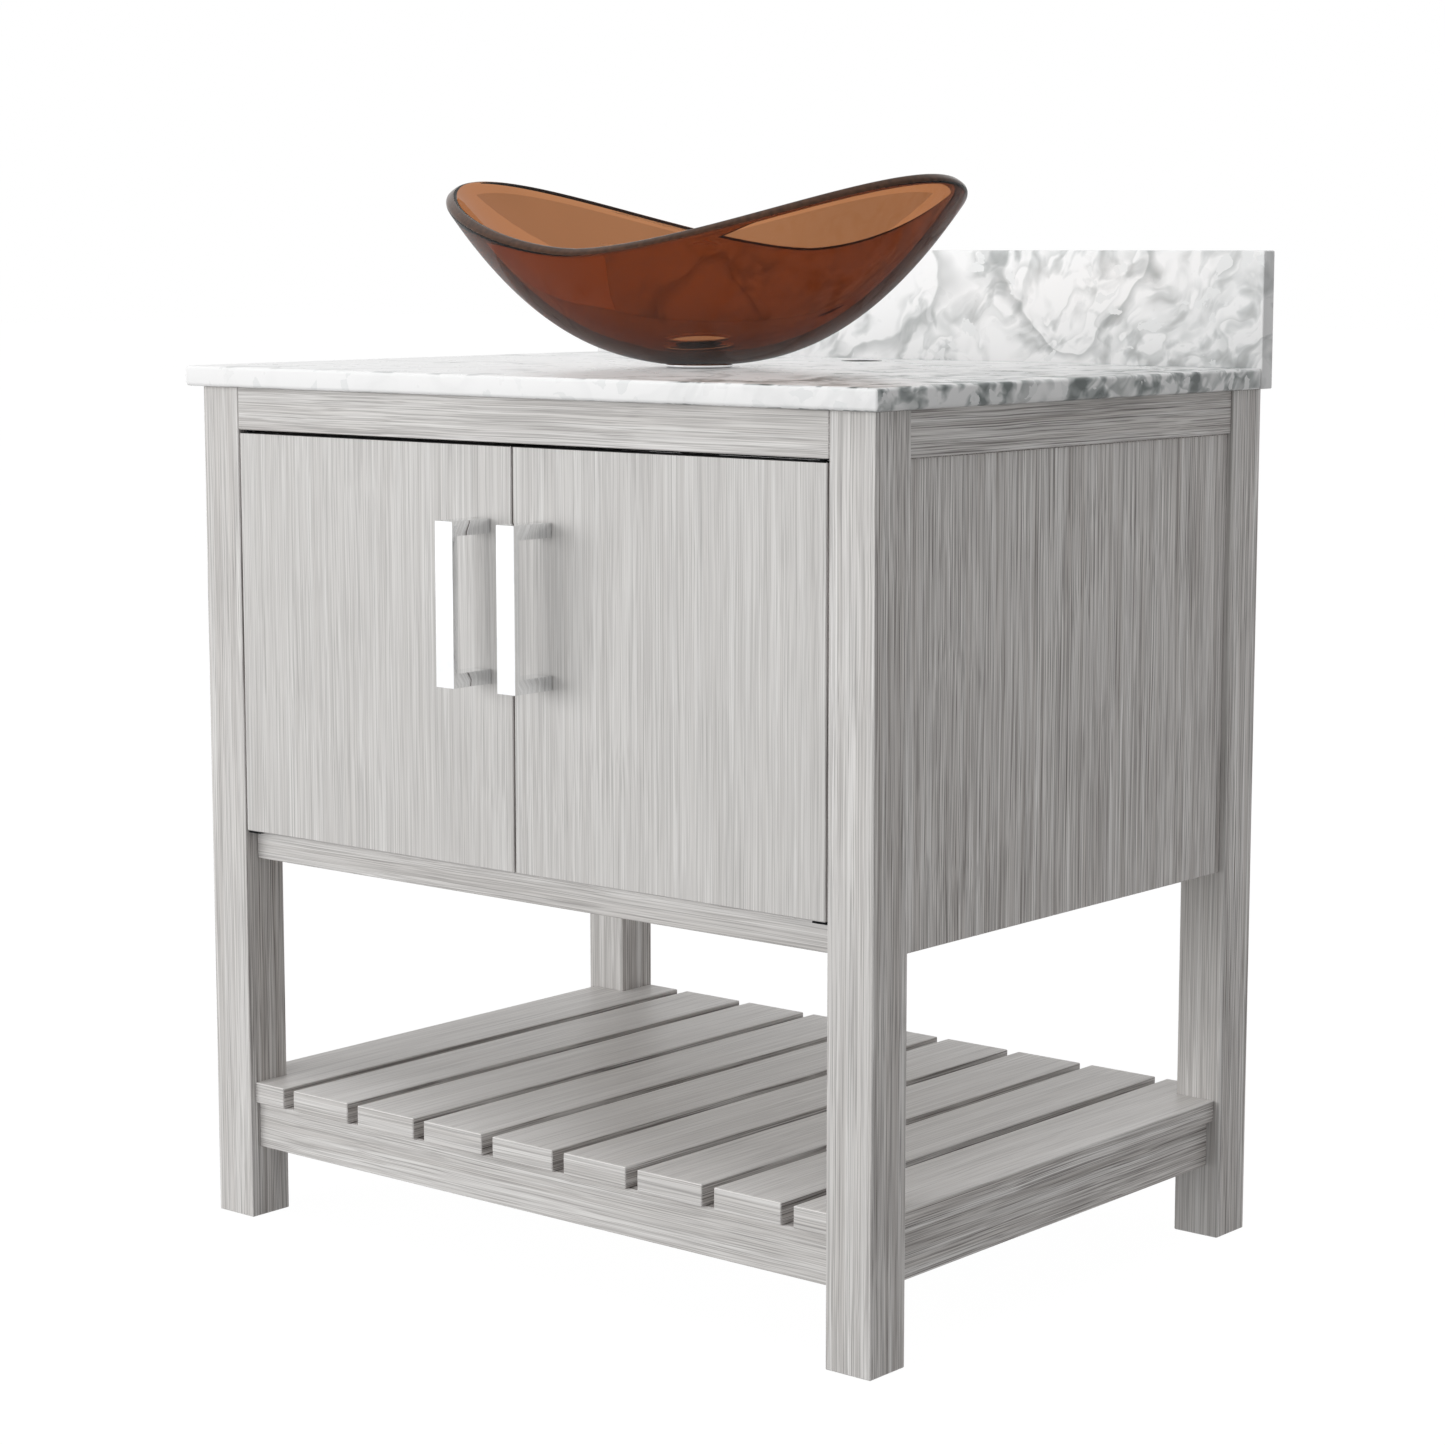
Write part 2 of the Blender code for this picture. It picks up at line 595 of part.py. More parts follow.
def build_bowl(glass, rounds=48, rings=9):
    """A loft of the outer surface from hole to rim, thickened inwards and rounded at the rim."""
    bm = bmesh.new()
    angles = bowl_angles(rounds)
    hole = [(DRAIN_HOLE_RADIUS * cos(angle), DRAIN_HOLE_RADIUS * sin(angle), 0) for angle in angles]
    loops = [[bm.verts.new(point) for point in hole]]
    for ring in range(rings + 1):
        loops.append([bm.verts.new(bowl_point(ring / rings, angle)) for angle in angles])
    for inner, outer in zip(loops, loops[1:]):
        for index in range(rounds):
            after = (index + 1) % rounds
            bm.faces.new((inner[index], inner[after], outer[after], outer[index]))
    for face in bm.faces:
        face.smooth = True
    mesh = bpy.data.meshes.new("glass_bowl")
    bm.to_mesh(mesh)
    bm.free()
    bowl = place("glass_bowl", mesh, glass, (0, BOWL_Y, GLASS_UNDER))
    shell = bowl.modifiers.new("glass wall", "SOLIDIFY")
    shell.thickness = BOWL_WALL
    shell.offset = -1.0
    shell.use_even_offset = True
    shell.use_quality_normals = True
    ease(bowl, BOWL_RIM_ROUNDING, 2, angle=55)


def build_drain(chrome, brass, rubber):
    """Ring, gasket, flanged tube with its spider, washer, nut and tailpiece, all on the drain's axis."""
    at = (0, BOWL_Y, 0)
    ring_top = RING_UNDER + RING_HIGH
    build_washer("mounting_ring", RING_RADIUS, DRAIN_HOLE_RADIUS, RING_UNDER, ring_top, chrome)
    gasket_under = GLASS_FLOOR + GAP
    gasket_top = gasket_under + FLANGE_GASKET_THICK
    gasket_outer = FLANGE_RADIUS - FLANGE_GASKET_INSET
    build_washer("flange_gasket", gasket_outer, DRAIN_HOLE_RADIUS, gasket_under, gasket_top, rubber)
    washer_top = TOP_UNDER - GAP
    washer_under = washer_top - WASHER_THICK
    build_washer("drain_washer", WASHER_RADIUS, DRAIN_TUBE_RADIUS + GAP, washer_under, washer_top, rubber)
    body = turned("drain_body", drain_profile(), at, chrome)
    add_spider(body)
    nut_top = washer_under - GAP
    nut_middle = (0, BOWL_Y, nut_top - NUT_HIGH / 2)
    nut = rod("drain_locknut", NUT_FLAT_RADIUS, nut_middle, NUT_HIGH, finish=brass, sides=8)
    cut(nut, rod("locknut_bore", DRAIN_TUBE_RADIUS + GAP, nut_middle, 2 * NUT_HIGH, sides=48))
    tail_top = TUBE_END + TAILPIECE_IN_DRAIN
    tail_bottom = tail_top - TAILPIECE_LENGTH
    outer, inner = TAILPIECE_RADIUS, TAILPIECE_RADIUS - TAILPIECE_WALL
    profile = [(outer, tail_top), (outer, tail_bottom), (inner, tail_bottom), (inner, tail_top)]
    turned("drain_tailpiece", profile, at, chrome, 40)


def build_washer(name, outer, inner, under, top, finish):
    profile = [(outer, top), (outer, under), (inner, under), (inner, top)]
    return turned(name, profile, (0, BOWL_Y, 0), finish)


def drain_profile():
    """The flange's lip, the threaded tube, and the bore, which flares into the flange."""
    return [
        (FLANGE_RADIUS - FLANGE_LIP, FLANGE_TOP),
        (FLANGE_RADIUS, FLANGE_TOP - FLANGE_LIP),
        (FLANGE_RADIUS, FLANGE_UNDER),
        (DRAIN_TUBE_RADIUS, FLANGE_UNDER),
        (DRAIN_TUBE_RADIUS, TUBE_END),
        (DRAIN_BORE_RADIUS, TUBE_END),
        (DRAIN_BORE_RADIUS, FLANGE_TOP - FLANGE_FLARE_DEEP),
        (DRAIN_TUBE_RADIUS, FLANGE_TOP),
    ]


def add_spider(body):
    """Two crossed arms and a drilled boss that guide the stopper's stem."""
    middle_z = BOSS_TOP - BOSS_HIGH / 2
    reach = (DRAIN_BORE_RADIUS + DRAIN_TUBE_RADIUS) / 2
    half = SPIDER_ARM / 2
    arm_z = (middle_z - BOSS_HIGH / 3, middle_z + BOSS_HIGH / 3)
    arms = (
        box("spider_arm_x", (-reach, BOWL_Y - half, arm_z[0]), (reach, BOWL_Y + half, arm_z[1])),
        box("spider_arm_y", (-half, BOWL_Y - reach, arm_z[0]), (half, BOWL_Y + reach, arm_z[1])),
    )
    join(body, *arms, rod("spider_boss", BOSS_RADIUS, (0, BOWL_Y, middle_z), BOSS_HIGH))
    cut(body, rod("stem_hole", STOPPER_STEM_RADIUS + STEM_PLAY, (0, BOWL_Y, middle_z), 2 * BOSS_HIGH))


def build_stopper(chrome, rubber):
    """The domed cap, its stem through the spider's boss, the collar that stops it, and its seal."""
    at = (0, BOWL_Y, 0)
    edge_top = STOPPER_UNDER + STOPPER_EDGE
    dome = []
    for step in range(7):
        share = step / 6
        drop = STOPPER_CROWN * share**STOPPER_CROWN_POWER
        dome.append((STOPPER_RADIUS * share, edge_top + STOPPER_CROWN - drop))
    collar_top = BOSS_TOP - BOSS_HIGH - GAP
    collar_under = collar_top - COLLAR_HIGH
    profile = [
        *dome,
        (STOPPER_RADIUS, STOPPER_UNDER),
        (STOPPER_STEM_RADIUS, STOPPER_UNDER),
        (STOPPER_STEM_RADIUS, collar_top),
        (COLLAR_RADIUS, collar_top),
        (COLLAR_RADIUS, collar_under),
        (0, collar_under),
    ]
    stopper = turned("drain_stopper", profile, at, chrome)
    seal_top = STOPPER_UNDER - GAP
    seal_inner = STOPPER_STEM_RADIUS + GAP
    seal = build_washer("stopper_seal", SEAL_RADIUS, seal_inner, seal_top - SEAL_THICK, seal_top, rubber)
    hang(pivot("stopper_slide", 0, BOWL_Y, STOPPER_UNDER), stopper, seal)


def shade_round_pieces():
    for made in parts.objects:
        if made.type == "MESH" and any(m.type == "SCREW" for m in made.modifiers):
            made.data.shade_smooth()


def main():
    clear_scene()
    wood = material("grey_washed_oak", (0.565, 0.546, 0.533), 0.55)
    plain = material("melamine_board", (0.60, 0.58, 0.56), 0.5)
    marble = material("white_marble", (0.76, 0.76, 0.765), 0.18)
    glass = material("brown_glass", (0.28, 0.10, 0.045), 0.02, transmission=1.0)
    chrome = material("polished_chrome", (0.84, 0.85, 0.86), 0.06, metallic=1.0)
    steel = material("satin_nickel", (0.56, 0.55, 0.53), 0.32, metallic=1.0)
    brass = material("drain_brass", (0.66, 0.47, 0.20), 0.3, metallic=1.0)
    rubber = material("black_rubber", (0.02, 0.02, 0.02), 0.75)
    plastic = material("white_plastic", (0.75, 0.75, 0.73), 0.4)
    notches = build_legs(wood)
    build_rails(wood)
    build_carcass(wood, plain, notches)
    build_shelf(wood, notches)
    build_stone(marble)
    for name, side in SIDES.items():
        build_door(name, side, wood, chrome, steel)
    build_catch(plastic)
    build_bowl(glass)
    build_drain(chrome, brass, rubber)
    build_stopper(chrome, rubber)
    shade_round_pieces()


main()
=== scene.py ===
# %% [markdown]
# # A vanity with a glass vessel bowl
#
# The joiner's part of this object (legs, rails, doors, slats) comes in ready made, as a frame of solids.
# This lesson gives it its looks. First it writes a finish for every surface and dresses the boards. Then it
# eases the stone, slumps the bowl, turns the drain fittings, cuts the pulls and drives the screws. All
# lengths are in metres, +Z is up and the doors face -Y.

# %% Load the frame
from math import cos, exp, hypot, log, pi, radians, sin

import bmesh
import bpy
from mathutils import Matrix, Vector


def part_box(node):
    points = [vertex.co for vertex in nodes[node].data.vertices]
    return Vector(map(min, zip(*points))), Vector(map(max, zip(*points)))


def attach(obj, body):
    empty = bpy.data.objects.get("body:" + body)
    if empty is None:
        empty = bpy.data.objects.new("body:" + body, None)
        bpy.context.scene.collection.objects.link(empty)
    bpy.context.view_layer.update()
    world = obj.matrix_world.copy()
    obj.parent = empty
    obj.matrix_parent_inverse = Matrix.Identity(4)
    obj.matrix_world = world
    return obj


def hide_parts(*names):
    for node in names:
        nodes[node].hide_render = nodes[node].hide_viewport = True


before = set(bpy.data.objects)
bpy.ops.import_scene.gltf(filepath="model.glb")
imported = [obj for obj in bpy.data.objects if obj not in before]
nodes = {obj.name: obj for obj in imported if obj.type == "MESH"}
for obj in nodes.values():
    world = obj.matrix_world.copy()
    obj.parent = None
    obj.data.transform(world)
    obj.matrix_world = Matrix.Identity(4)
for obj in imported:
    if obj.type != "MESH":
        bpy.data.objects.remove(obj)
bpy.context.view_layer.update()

MM = 0.001

# %% [markdown]
# ## The camera
#
# A long lens from the front right corner, at the height of the bowl. A long lens keeps the legs nearly
# parallel, as furniture is usually shown. The camera looks down by about eight degrees, which shows the
# slats but hardly any of the countertop.

# %% Camera
lens = bpy.data.cameras.new("furniture_lens")
lens.lens = 84.91
lens.sensor_width = 36.0
lens.clip_start = 0.05
camera = bpy.data.objects.new("camera", lens)
camera.location = (1.9015, -2.25155, 0.8607)
camera.rotation_euler = (radians(90 - 7.925), 0, radians(39.98))
bpy.context.scene.collection.objects.link(camera)
bpy.context.scene.camera = camera
print("camera", round(camera.location.length, 2), "m from the middle of the floor")

# %% [markdown]
# ## Helpers for materials
#
# A finish is a small graph of nodes. `add` makes one node: keyword arguments set its settings, and the
# dictionary feeds its sockets, either with a constant or with another node's output. Colours are written as
# sRGB hex, the way a paint chart gives them, and `tint` turns them to the linear values that light works
# in.

# %% tint and add


def tint(text):
    """sRGB hex to linear RGBA."""
    parts = [int(text[i : i + 2], 16) / 255 for i in (1, 3, 5)]
    return (*[v / 12.92 if v <= 0.04045 else ((v + 0.055) / 1.055) ** 2.4 for v in parts], 1.0)


def add(tree, kind, inputs=None, **settings):
    """One node with its settings, and its sockets set or linked."""
    made = tree.nodes.new("ShaderNode" + kind)
    for name, value in settings.items():
        setattr(made, name, value)
    for key, value in (inputs or {}).items():
        socket = made.inputs[key]
        if isinstance(value, bpy.types.NodeSocket):
            tree.links.new(value, socket)
        else:
            socket.default_value = value
    return made


def finish(name, **sockets):
    """A new material with one Principled shader; its fixed values sit on the shader's own sockets."""
    made = bpy.data.materials.new(name)
    made.use_nodes = True
    made.node_tree.nodes.clear()
    shader = add(made.node_tree, "BsdfPrincipled", {k.replace("_", " "): v for k, v in sockets.items()})
    add(made.node_tree, "OutputMaterial", {"Surface": shader.outputs[0]})
    return made, made.node_tree, shader


def ramp(tree, value, *stops):
    """A colour ramp through (position, colour) stops."""
    made = add(tree, "ValToRGB", {"Fac": value})
    band = made.color_ramp
    for index, (place, colour) in enumerate(stops):
        stop = band.elements[index] if index < 2 else band.elements.new(place)
        stop.position = place
        stop.color = colour
    return made.outputs["Color"]


def blend(tree, how, amount, first, second):
    """Two colours mixed, multiplied or screened."""
    inputs = {0: amount, 6: first, 7: second}
    return add(tree, "Mix", inputs, data_type="RGBA", blend_type=how).outputs[2]


def blend_points(tree, amount, first, second):
    """Two vectors mixed by a factor."""
    return add(tree, "Mix", {0: amount, 4: first, 5: second}, data_type="VECTOR").outputs[1]


GREY = {level: (level / 100, level / 100, level / 100, 1.0) for level in range(0, 101)}
print("white paper is", tint("#ffffff")[:3])

# %% [markdown]
# ## Grey-washed oak veneer
#
# The boards are faced with straight-grained oak veneer, brushed open, washed with grey pigment and sealed
# with a matt lacquer. The pigment settles in the pores, so the eye reads fine dark streaks on a pale
# ground, about a millimetre wide and as long as a hand. Images of wood could be wrapped round each board,
# but noise squeezed across the grain gives the same streaks at their real size, on every face, with no
# seams. Each board is cut from another place in the "tree", through the random number that every object
# carries.
#
# Faces that look forward are blended toward a flat pale tone, so their streaks are calmer: painted light,
# standing for the glare that flattens the grain on the lit front. The shelf's tops are painted paler, as a
# painted sheen, and the doors' top edges, which lie in a dark gap, are painted near-black as painted shade.

# %% Oak
# Painted light: forward faces are blended toward this flat tone, for the glare that flattens their grain.
FRONT_GLARE_TONE = "#bcbbb9"
STREAK = 0.95 * MM
STREAK_LONG = 200 * MM
FLEECE = 6 * MM
FLEECE_LONG = 420 * MM
PORE = 1.0 * MM
PORE_LONG = 160 * MM
FACING = {"X": "Y", "Y": "X", "Z": "X"}


def squeezed(tree, point, grain, across, along):
    """The point measured in streak widths across the grain and in streak lengths along it."""
    scale = [1 / (along if axis == grain else across) for axis in "XYZ"]
    return add(tree, "Mapping", {"Vector": point, "Scale": scale}).outputs[0]


def side_of(tree, axis, sign=1.0):
    """1 on faces that look along the signed axis, 0 elsewhere."""
    normal = add(tree, "TexCoord").outputs["Normal"]
    parts = add(tree, "SeparateXYZ", {0: normal})
    toward = add(tree, "Math", {0: parts.outputs[axis], 1: sign}, operation="MULTIPLY").outputs[0]
    return add(tree, "Math", {0: toward, 1: 0.7}, operation="GREATER_THAN").outputs[0]


def washed_oak(name, grain, front_glare_paint, top=None, top_share=0.0):
    """Oak with grain along one axis; painted light calms its front, and its top may take a painted tone."""
    made, tree, shader = finish(name, Roughness=0.52, IOR=1.46)
    here = add(tree, "TexCoord").outputs["Object"]
    luck = add(tree, "ObjectInfo").outputs["Random"]
    shift = add(tree, "VectorMath", {0: luck, 1: (3.1, 5.7, 4.3)}, operation="MULTIPLY").outputs[0]
    place = add(tree, "VectorMath", {0: here, 1: shift}, operation="ADD").outputs[0]
    slow = add(tree, "TexNoise", {"Vector": place, "Scale": 6.0, "Detail": 1.0})
    centred = {0: slow.outputs["Color"], 1: (0.5, 0.5, 0.5)}
    sway = add(tree, "VectorMath", centred, operation="SUBTRACT").outputs[0]
    amount = [0.0 if axis == grain else 3 * MM for axis in "XYZ"]
    sway = add(tree, "VectorMath", {0: sway, 1: amount}, operation="MULTIPLY").outputs[0]
    place = add(tree, "VectorMath", {0: place, 1: sway}, operation="ADD").outputs[0]

    axis = "XYZ".index(grain)
    both = {0: side_of(tree, axis), 1: side_of(tree, axis, -1.0)}
    ends = add(tree, "Math", both, operation="ADD").outputs[0]

    def figure(across, along, detail, rough):
        down = squeezed(tree, place, grain, across, along)
        banded = squeezed(tree, place, FACING[grain], across, along)
        turned_point = blend_points(tree, ends, down, banded)
        return add(
            tree, "TexNoise", {"Vector": turned_point, "Scale": 1.0, "Detail": detail, "Roughness": rough}
        ).outputs["Fac"]

    fine = figure(STREAK, STREAK_LONG, 3.0, 0.6)
    wide = figure(FLEECE, FLEECE_LONG, 2.0, 0.5)
    pore = figure(PORE, PORE_LONG, 2.0, 0.7)
    ground = ramp(tree, fine, (0.32, tint("#7c7775")), (0.47, tint("#cac7c5")), (0.62, tint("#efedeb")))
    cloud = ramp(tree, wide, (0.34, tint("#dedbd9")), (0.62, GREY[100]))
    ground = blend(tree, "MULTIPLY", 1.0, ground, cloud)
    lines = ramp(tree, pore, (0.55, GREY[100]), (0.64, tint("#928b89")))
    ground = blend(tree, "MULTIPLY", 0.9, ground, lines)
    # Painted light: faces that look forward (-Y) are calmed toward the flat front tone.
    calm = add(tree, "Math", {0: side_of(tree, 1, -1.0), 1: front_glare_paint}, operation="MULTIPLY").outputs[0]
    ground = blend(tree, "MIX", calm, ground, tint(FRONT_GLARE_TONE))
    if top:
        # A painted tone on faces that look up: painted sheen on the shelf, painted shade on the door tops.
        painted_top = add(tree, "Math", {0: side_of(tree, 2), 1: top_share}, operation="MULTIPLY").outputs[0]
        ground = blend(tree, "MIX", painted_top, ground, tint(top))
    tree.links.new(ground, shader.inputs["Base Color"])
    span = {"Value": fine, "From Min": 0.3, "From Max": 0.7, "To Min": 0.52, "To Max": 0.38}
    rough = add(tree, "MapRange", span)
    tree.links.new(rough.outputs[0], shader.inputs["Roughness"])
    brushed = add(tree, "Bump", {"Height": fine, "Strength": 0.2, "Distance": 0.12 * MM})
    tree.links.new(brushed.outputs[0], shader.inputs["Normal"])
    return made


oak = {grain: washed_oak(f"grey_washed_oak_grain_{grain.lower()}", grain, 0.5) for grain in "XZ"}
# Shelf tops are painted paler: a painted sheen.
oak["Y"] = washed_oak("grey_washed_oak_grain_y", "Y", 0.5, top="#efedeb", top_share=0.6)
# The doors' top edges are painted near-black: painted shade in the gap over the doors.
door_oak = washed_oak("grey_washed_oak_door", "Z", 0.66, top="#050505", top_share=1.0)
print("oak streaks", STREAK / MM, "mm wide and", STREAK_LONG / MM, "mm long")

# %% [markdown]
# ## Melamine board
#
# The cabinet floor and the corner blocks are hidden, so a maker uses plain chipboard under a melamine
# paper: pale, satin, with a faint printed fleck a few tenths of a millimetre across. The fleck is drawn at
# a millimetre here, because a finer one would not show.

# %% Melamine


def melamine_board():
    made, tree, shader = finish("melamine_faced_board", Roughness=0.48, IOR=1.5)
    here = add(tree, "TexCoord").outputs["Object"]
    fleck = add(tree, "TexNoise", {"Vector": here, "Scale": 1 / MM, "Detail": 2.0}).outputs["Fac"]
    colour = ramp(tree, fleck, (0.35, tint("#bdb8b2")), (0.65, tint("#d2cec9")))
    tree.links.new(colour, shader.inputs["Base Color"])
    bump = add(tree, "Bump", {"Height": fleck, "Strength": 0.12, "Distance": 0.1 * MM})
    tree.links.new(bump.outputs[0], shader.inputs["Normal"])
    return made


melamine = melamine_board()

# %% [markdown]
# ## Polished marble
#
# White marble is limestone cooked and kneaded under a mountain. Clay dragged through it leaves soft grey
# folds, and where the stone cracked and healed, white angular flakes lie in the grey. Polishing leaves it
# glossy. Three patterns stack up: noise read through other noise for the folds, a noise level cut off
# sharply on one side for the healed crack, and Voronoi cells, which have straight sides, for the flakes.
# The two pieces come from different slabs: the top is calm on the left, the backsplash is calm on the left
# only. On the top, faces that look forward are also kept nearly free of grey: painted light, standing for
# the glare on its bright front edge.

# %% Marble
FOLD = 15 * MM
CLOUD = 70 * MM
KNEAD = 45 * MM
CRACK = 260 * MM
FLAKE = 11 * MM


def polished_marble(name, quiet_from, quiet_to, calm, depth, flaky, sparse=0.0, front_glare_share=0.0):
    """Stone that is calm at one X and full of grey folds at the other; depth darkens them, flaky adds flakes,
    sparse leaves more white between them, and the front share keeps folds and crack off the faces that look
    forward, as painted light for the glare on the bright front edge."""
    made, tree, shader = finish(name, Roughness=0.3, IOR=1.49)
    shader.inputs["Specular IOR Level"].default_value = 0.35
    here = add(tree, "TexCoord").outputs["Object"]
    across = add(tree, "SeparateXYZ", {0: here}).outputs[0]
    ends = {"Value": across, "From Min": quiet_from, "From Max": quiet_to, "To Min": -calm, "To Max": 0.16}
    lean = add(tree, "MapRange", ends)

    def warp(point, size, reach):
        drag = add(tree, "TexNoise", {"Vector": point, "Scale": 1 / size, "Detail": 3.0}).outputs["Color"]
        drag = add(tree, "VectorMath", {0: drag, 1: (0.5, 0.5, 0.5)}, operation="SUBTRACT").outputs[0]
        drag = add(tree, "VectorMath", {0: drag, "Scale": reach}, operation="SCALE").outputs[0]
        return add(tree, "VectorMath", {0: point, 1: drag}, operation="ADD").outputs[0]

    kneaded = warp(here, 2 * KNEAD, 1.8 * KNEAD)
    drift = {"Vector": kneaded, "Rotation": (radians(-35), radians(42), 0), "Scale": (1.0, 1.2, 3.0)}
    leaning = add(tree, "Mapping", drift, vector_type="TEXTURE").outputs[0]
    cloud = add(tree, "TexNoise", {"Vector": kneaded, "Scale": 1 / CLOUD, "Detail": 2.0}).outputs["Fac"]
    busy = add(tree, "Math", {0: cloud, 1: lean.outputs[0]}, operation="ADD").outputs[0]
    busy = ramp(tree, busy, (0.47, GREY[0]), (0.62, GREY[100]))
    # Painted light: faces that look forward lose folds and the healed crack, for the glare on the front edge.
    forward = side_of(tree, 1, -1.0)
    front_glare_paint = add(tree, "Math", {0: forward, 1: front_glare_share}, operation="MULTIPLY").outputs[0]
    busy = blend(tree, "MIX", front_glare_paint, busy, GREY[0])

    drawn = {"Vector": leaning, "Scale": 1 / FOLD, "Detail": 2.5, "Roughness": 0.45}
    fold = add(tree, "TexNoise", drawn).outputs["Fac"]
    shades = ((0.34, tint("#727a79")), (0.46, tint("#c0c4c4")), (0.55, GREY[100]))
    soft = ramp(tree, fold, *[(place - sparse, shade) for place, shade in shades])
    ridge = add(tree, "TexNoise", {"Vector": leaning, "Scale": 0.45 / FOLD, "Detail": 2.0}).outputs["Fac"]
    ridge = ramp(tree, ridge, (0.40, GREY[100]), (0.505, tint("#b4b9b8")), (0.53, GREY[100]))
    folds = blend(tree, "MULTIPLY", 0.8, soft, ridge)
    folds = blend(tree, "MIX", busy, GREY[100], folds)
    stone = blend(tree, "MULTIPLY", depth, tint("#e4e4e4"), folds)

    crack = add(tree, "TexNoise", {"Vector": kneaded, "Scale": 1 / CRACK, "Detail": 1.0}).outputs["Fac"]
    healed = ramp(tree, crack, (0.50, GREY[100]), (0.523, tint("#a4a8a8")), (0.526, GREY[100]))
    # Painted light: the healed crack fades out on faces that look forward.
    strength = add(tree, "MapRange", {"Value": front_glare_paint, "To Min": 0.6, "To Max": 0.0}).outputs[0]
    stone = blend(tree, "MULTIPLY", strength, stone, healed)

    broken = warp(kneaded, 7 * MM, 9 * MM)
    cells = add(tree, "TexVoronoi", {"Vector": broken, "Scale": 1 / FLAKE, "Randomness": 1.0})
    chosen = add(tree, "SeparateColor", {"Color": cells.outputs["Color"]}).outputs[0]
    flakes = ramp(tree, chosen, (1 - flaky, GREY[0]), (1.002 - flaky, GREY[100]))
    stone = blend(tree, "MIX", flakes, stone, tint("#dadbdb"))
    tree.links.new(stone, shader.inputs["Base Color"])
    wear = add(tree, "TexNoise", {"Vector": here, "Scale": 60.0, "Detail": 2.0}).outputs["Fac"]
    rough = add(tree, "MapRange", {"Value": wear, "To Min": 0.22, "To Max": 0.38})
    tree.links.new(rough.outputs[0], shader.inputs["Roughness"])
    return made


marble = polished_marble("polished_white_marble", 0.05, 0.37, 0.15, 1.0, 0.09, front_glare_share=0.9)
splash_marble = polished_marble("polished_white_marble_slip", -0.30, 0.35, 0.04, 0.5, 0.04, sparse=0.035)

# %% [markdown]
# ## Brown tempered glass
#
# The bowl is soda-lime glass slumped into a mould and tempered, 11 mm thick. Its brown is partly in the
# glass and partly a stain fired onto both faces, so one wall looks amber and two look brown. The share of
# light that one wall lets through is split between the faces and the depth. A plain clear glass would
# mirror the white room so strongly that the brown would look milky, so most of the surface only bends
# light, as glass with a coat against glare does. The stain is never quite even: it varies by a few
# hundredths over a few centimetres. Towards the foot the colour is also painted darker, as painted shade for
# the shadow and dark reflection under the bowl. On the ground rim the stain lies thick and nearly opaque, so
# the rim has a finish of its own.

# %% Glass
WALL = 11 * MM
THROUGH_ONE_WALL = (0.40, 0.18, 0.082)
IN_DEPTH = 0.5
SOAK = 300.0
NO_GLARE = 0.72
# Painted shade: the bowl's colour is darkened towards its foot, for the shadow and dark reflection under it.
FOOT_SHADE_LEVEL = 0.72
SHADED_FOOT_HEIGHT = 40 * MM
STAIN_DRIFT = 60 * MM


def brown_glass():
    made, tree, shader = finish("brown_tempered_glass", Roughness=0.0, IOR=1.5)
    shader.inputs["Transmission Weight"].default_value = 1.0
    stain = [share ** (1 - IN_DEPTH) for share in THROUGH_ONE_WALL]
    here = add(tree, "TexCoord").outputs["Object"]
    drift = add(tree, "TexNoise", {"Vector": here, "Scale": 1 / STAIN_DRIFT, "Detail": 1.0}).outputs["Fac"]
    deep, pale = (*[0.97 * v for v in stain], 1.0), (*[min(1.0, 1.03 * v) for v in stain], 1.0)
    face = ramp(tree, drift, (0.3, deep), (0.7, pale))
    # Painted shade: the colour darkens over the lowest 40 mm of the bowl.
    height = add(tree, "SeparateXYZ", {0: here}).outputs[2]
    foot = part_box("glass_bowl")[0][2]
    span = {"Value": height, "From Min": foot, "From Max": foot + SHADED_FOOT_HEIGHT, "To Min": FOOT_SHADE_LEVEL, "To Max": 1.0}
    painted_foot_shade = add(tree, "MapRange", span).outputs[0]
    face = blend(tree, "MULTIPLY", 1.0, face, painted_foot_shade)
    tree.links.new(face, shader.inputs["Base Color"])
    once = add(tree, "Gamma", {"Color": face, "Gamma": 0.5}).outputs[0]
    bend = add(tree, "BsdfRefraction", {"Color": once, "Roughness": 0.0, "IOR": 1.5})
    both = add(tree, "MixShader", {0: NO_GLARE, 1: shader.outputs[0], 2: bend.outputs[0]})
    lost = [-IN_DEPTH * log(share) / WALL for share in THROUGH_ONE_WALL]
    soak = add(tree, "VolumeAbsorption", {"Density": SOAK, "Color": (*[1 - v / SOAK for v in lost], 1.0)})
    output = next(n for n in tree.nodes if n.type == "OUTPUT_MATERIAL")
    tree.links.new(both.outputs[0], output.inputs["Surface"])
    tree.links.new(soak.outputs[0], output.inputs["Volume"])
    return made


def ground_rim():
    """The ground edge, where the stain is nearly opaque and the wheel leaves fine marks."""
    made, tree, shader = finish("stained_ground_rim", Roughness=0.2, IOR=1.5)
    shader.inputs["Specular IOR Level"].default_value = 0.12
    here = add(tree, "TexCoord").outputs["Object"]
    marks = add(tree, "TexNoise", {"Vector": here, "Scale": 1 / (5 * MM), "Detail": 2.0}).outputs["Fac"]
    stain = ramp(tree, marks, (0.3, tint("#35241a")), (0.7, tint("#4b3325")))
    tree.links.new(stain, shader.inputs["Base Color"])
    rough = add(tree, "MapRange", {"Value": marks, "To Min": 0.14, "To Max": 0.26})
    tree.links.new(rough.outputs[0], shader.inputs["Roughness"])
    return made


glass = brown_glass()
rim_stain = ground_rim()
print("a 30 mm path passes", [round(exp(IN_DEPTH * log(v) * 30 * MM / WALL), 3) for v in THROUGH_ONE_WALL])
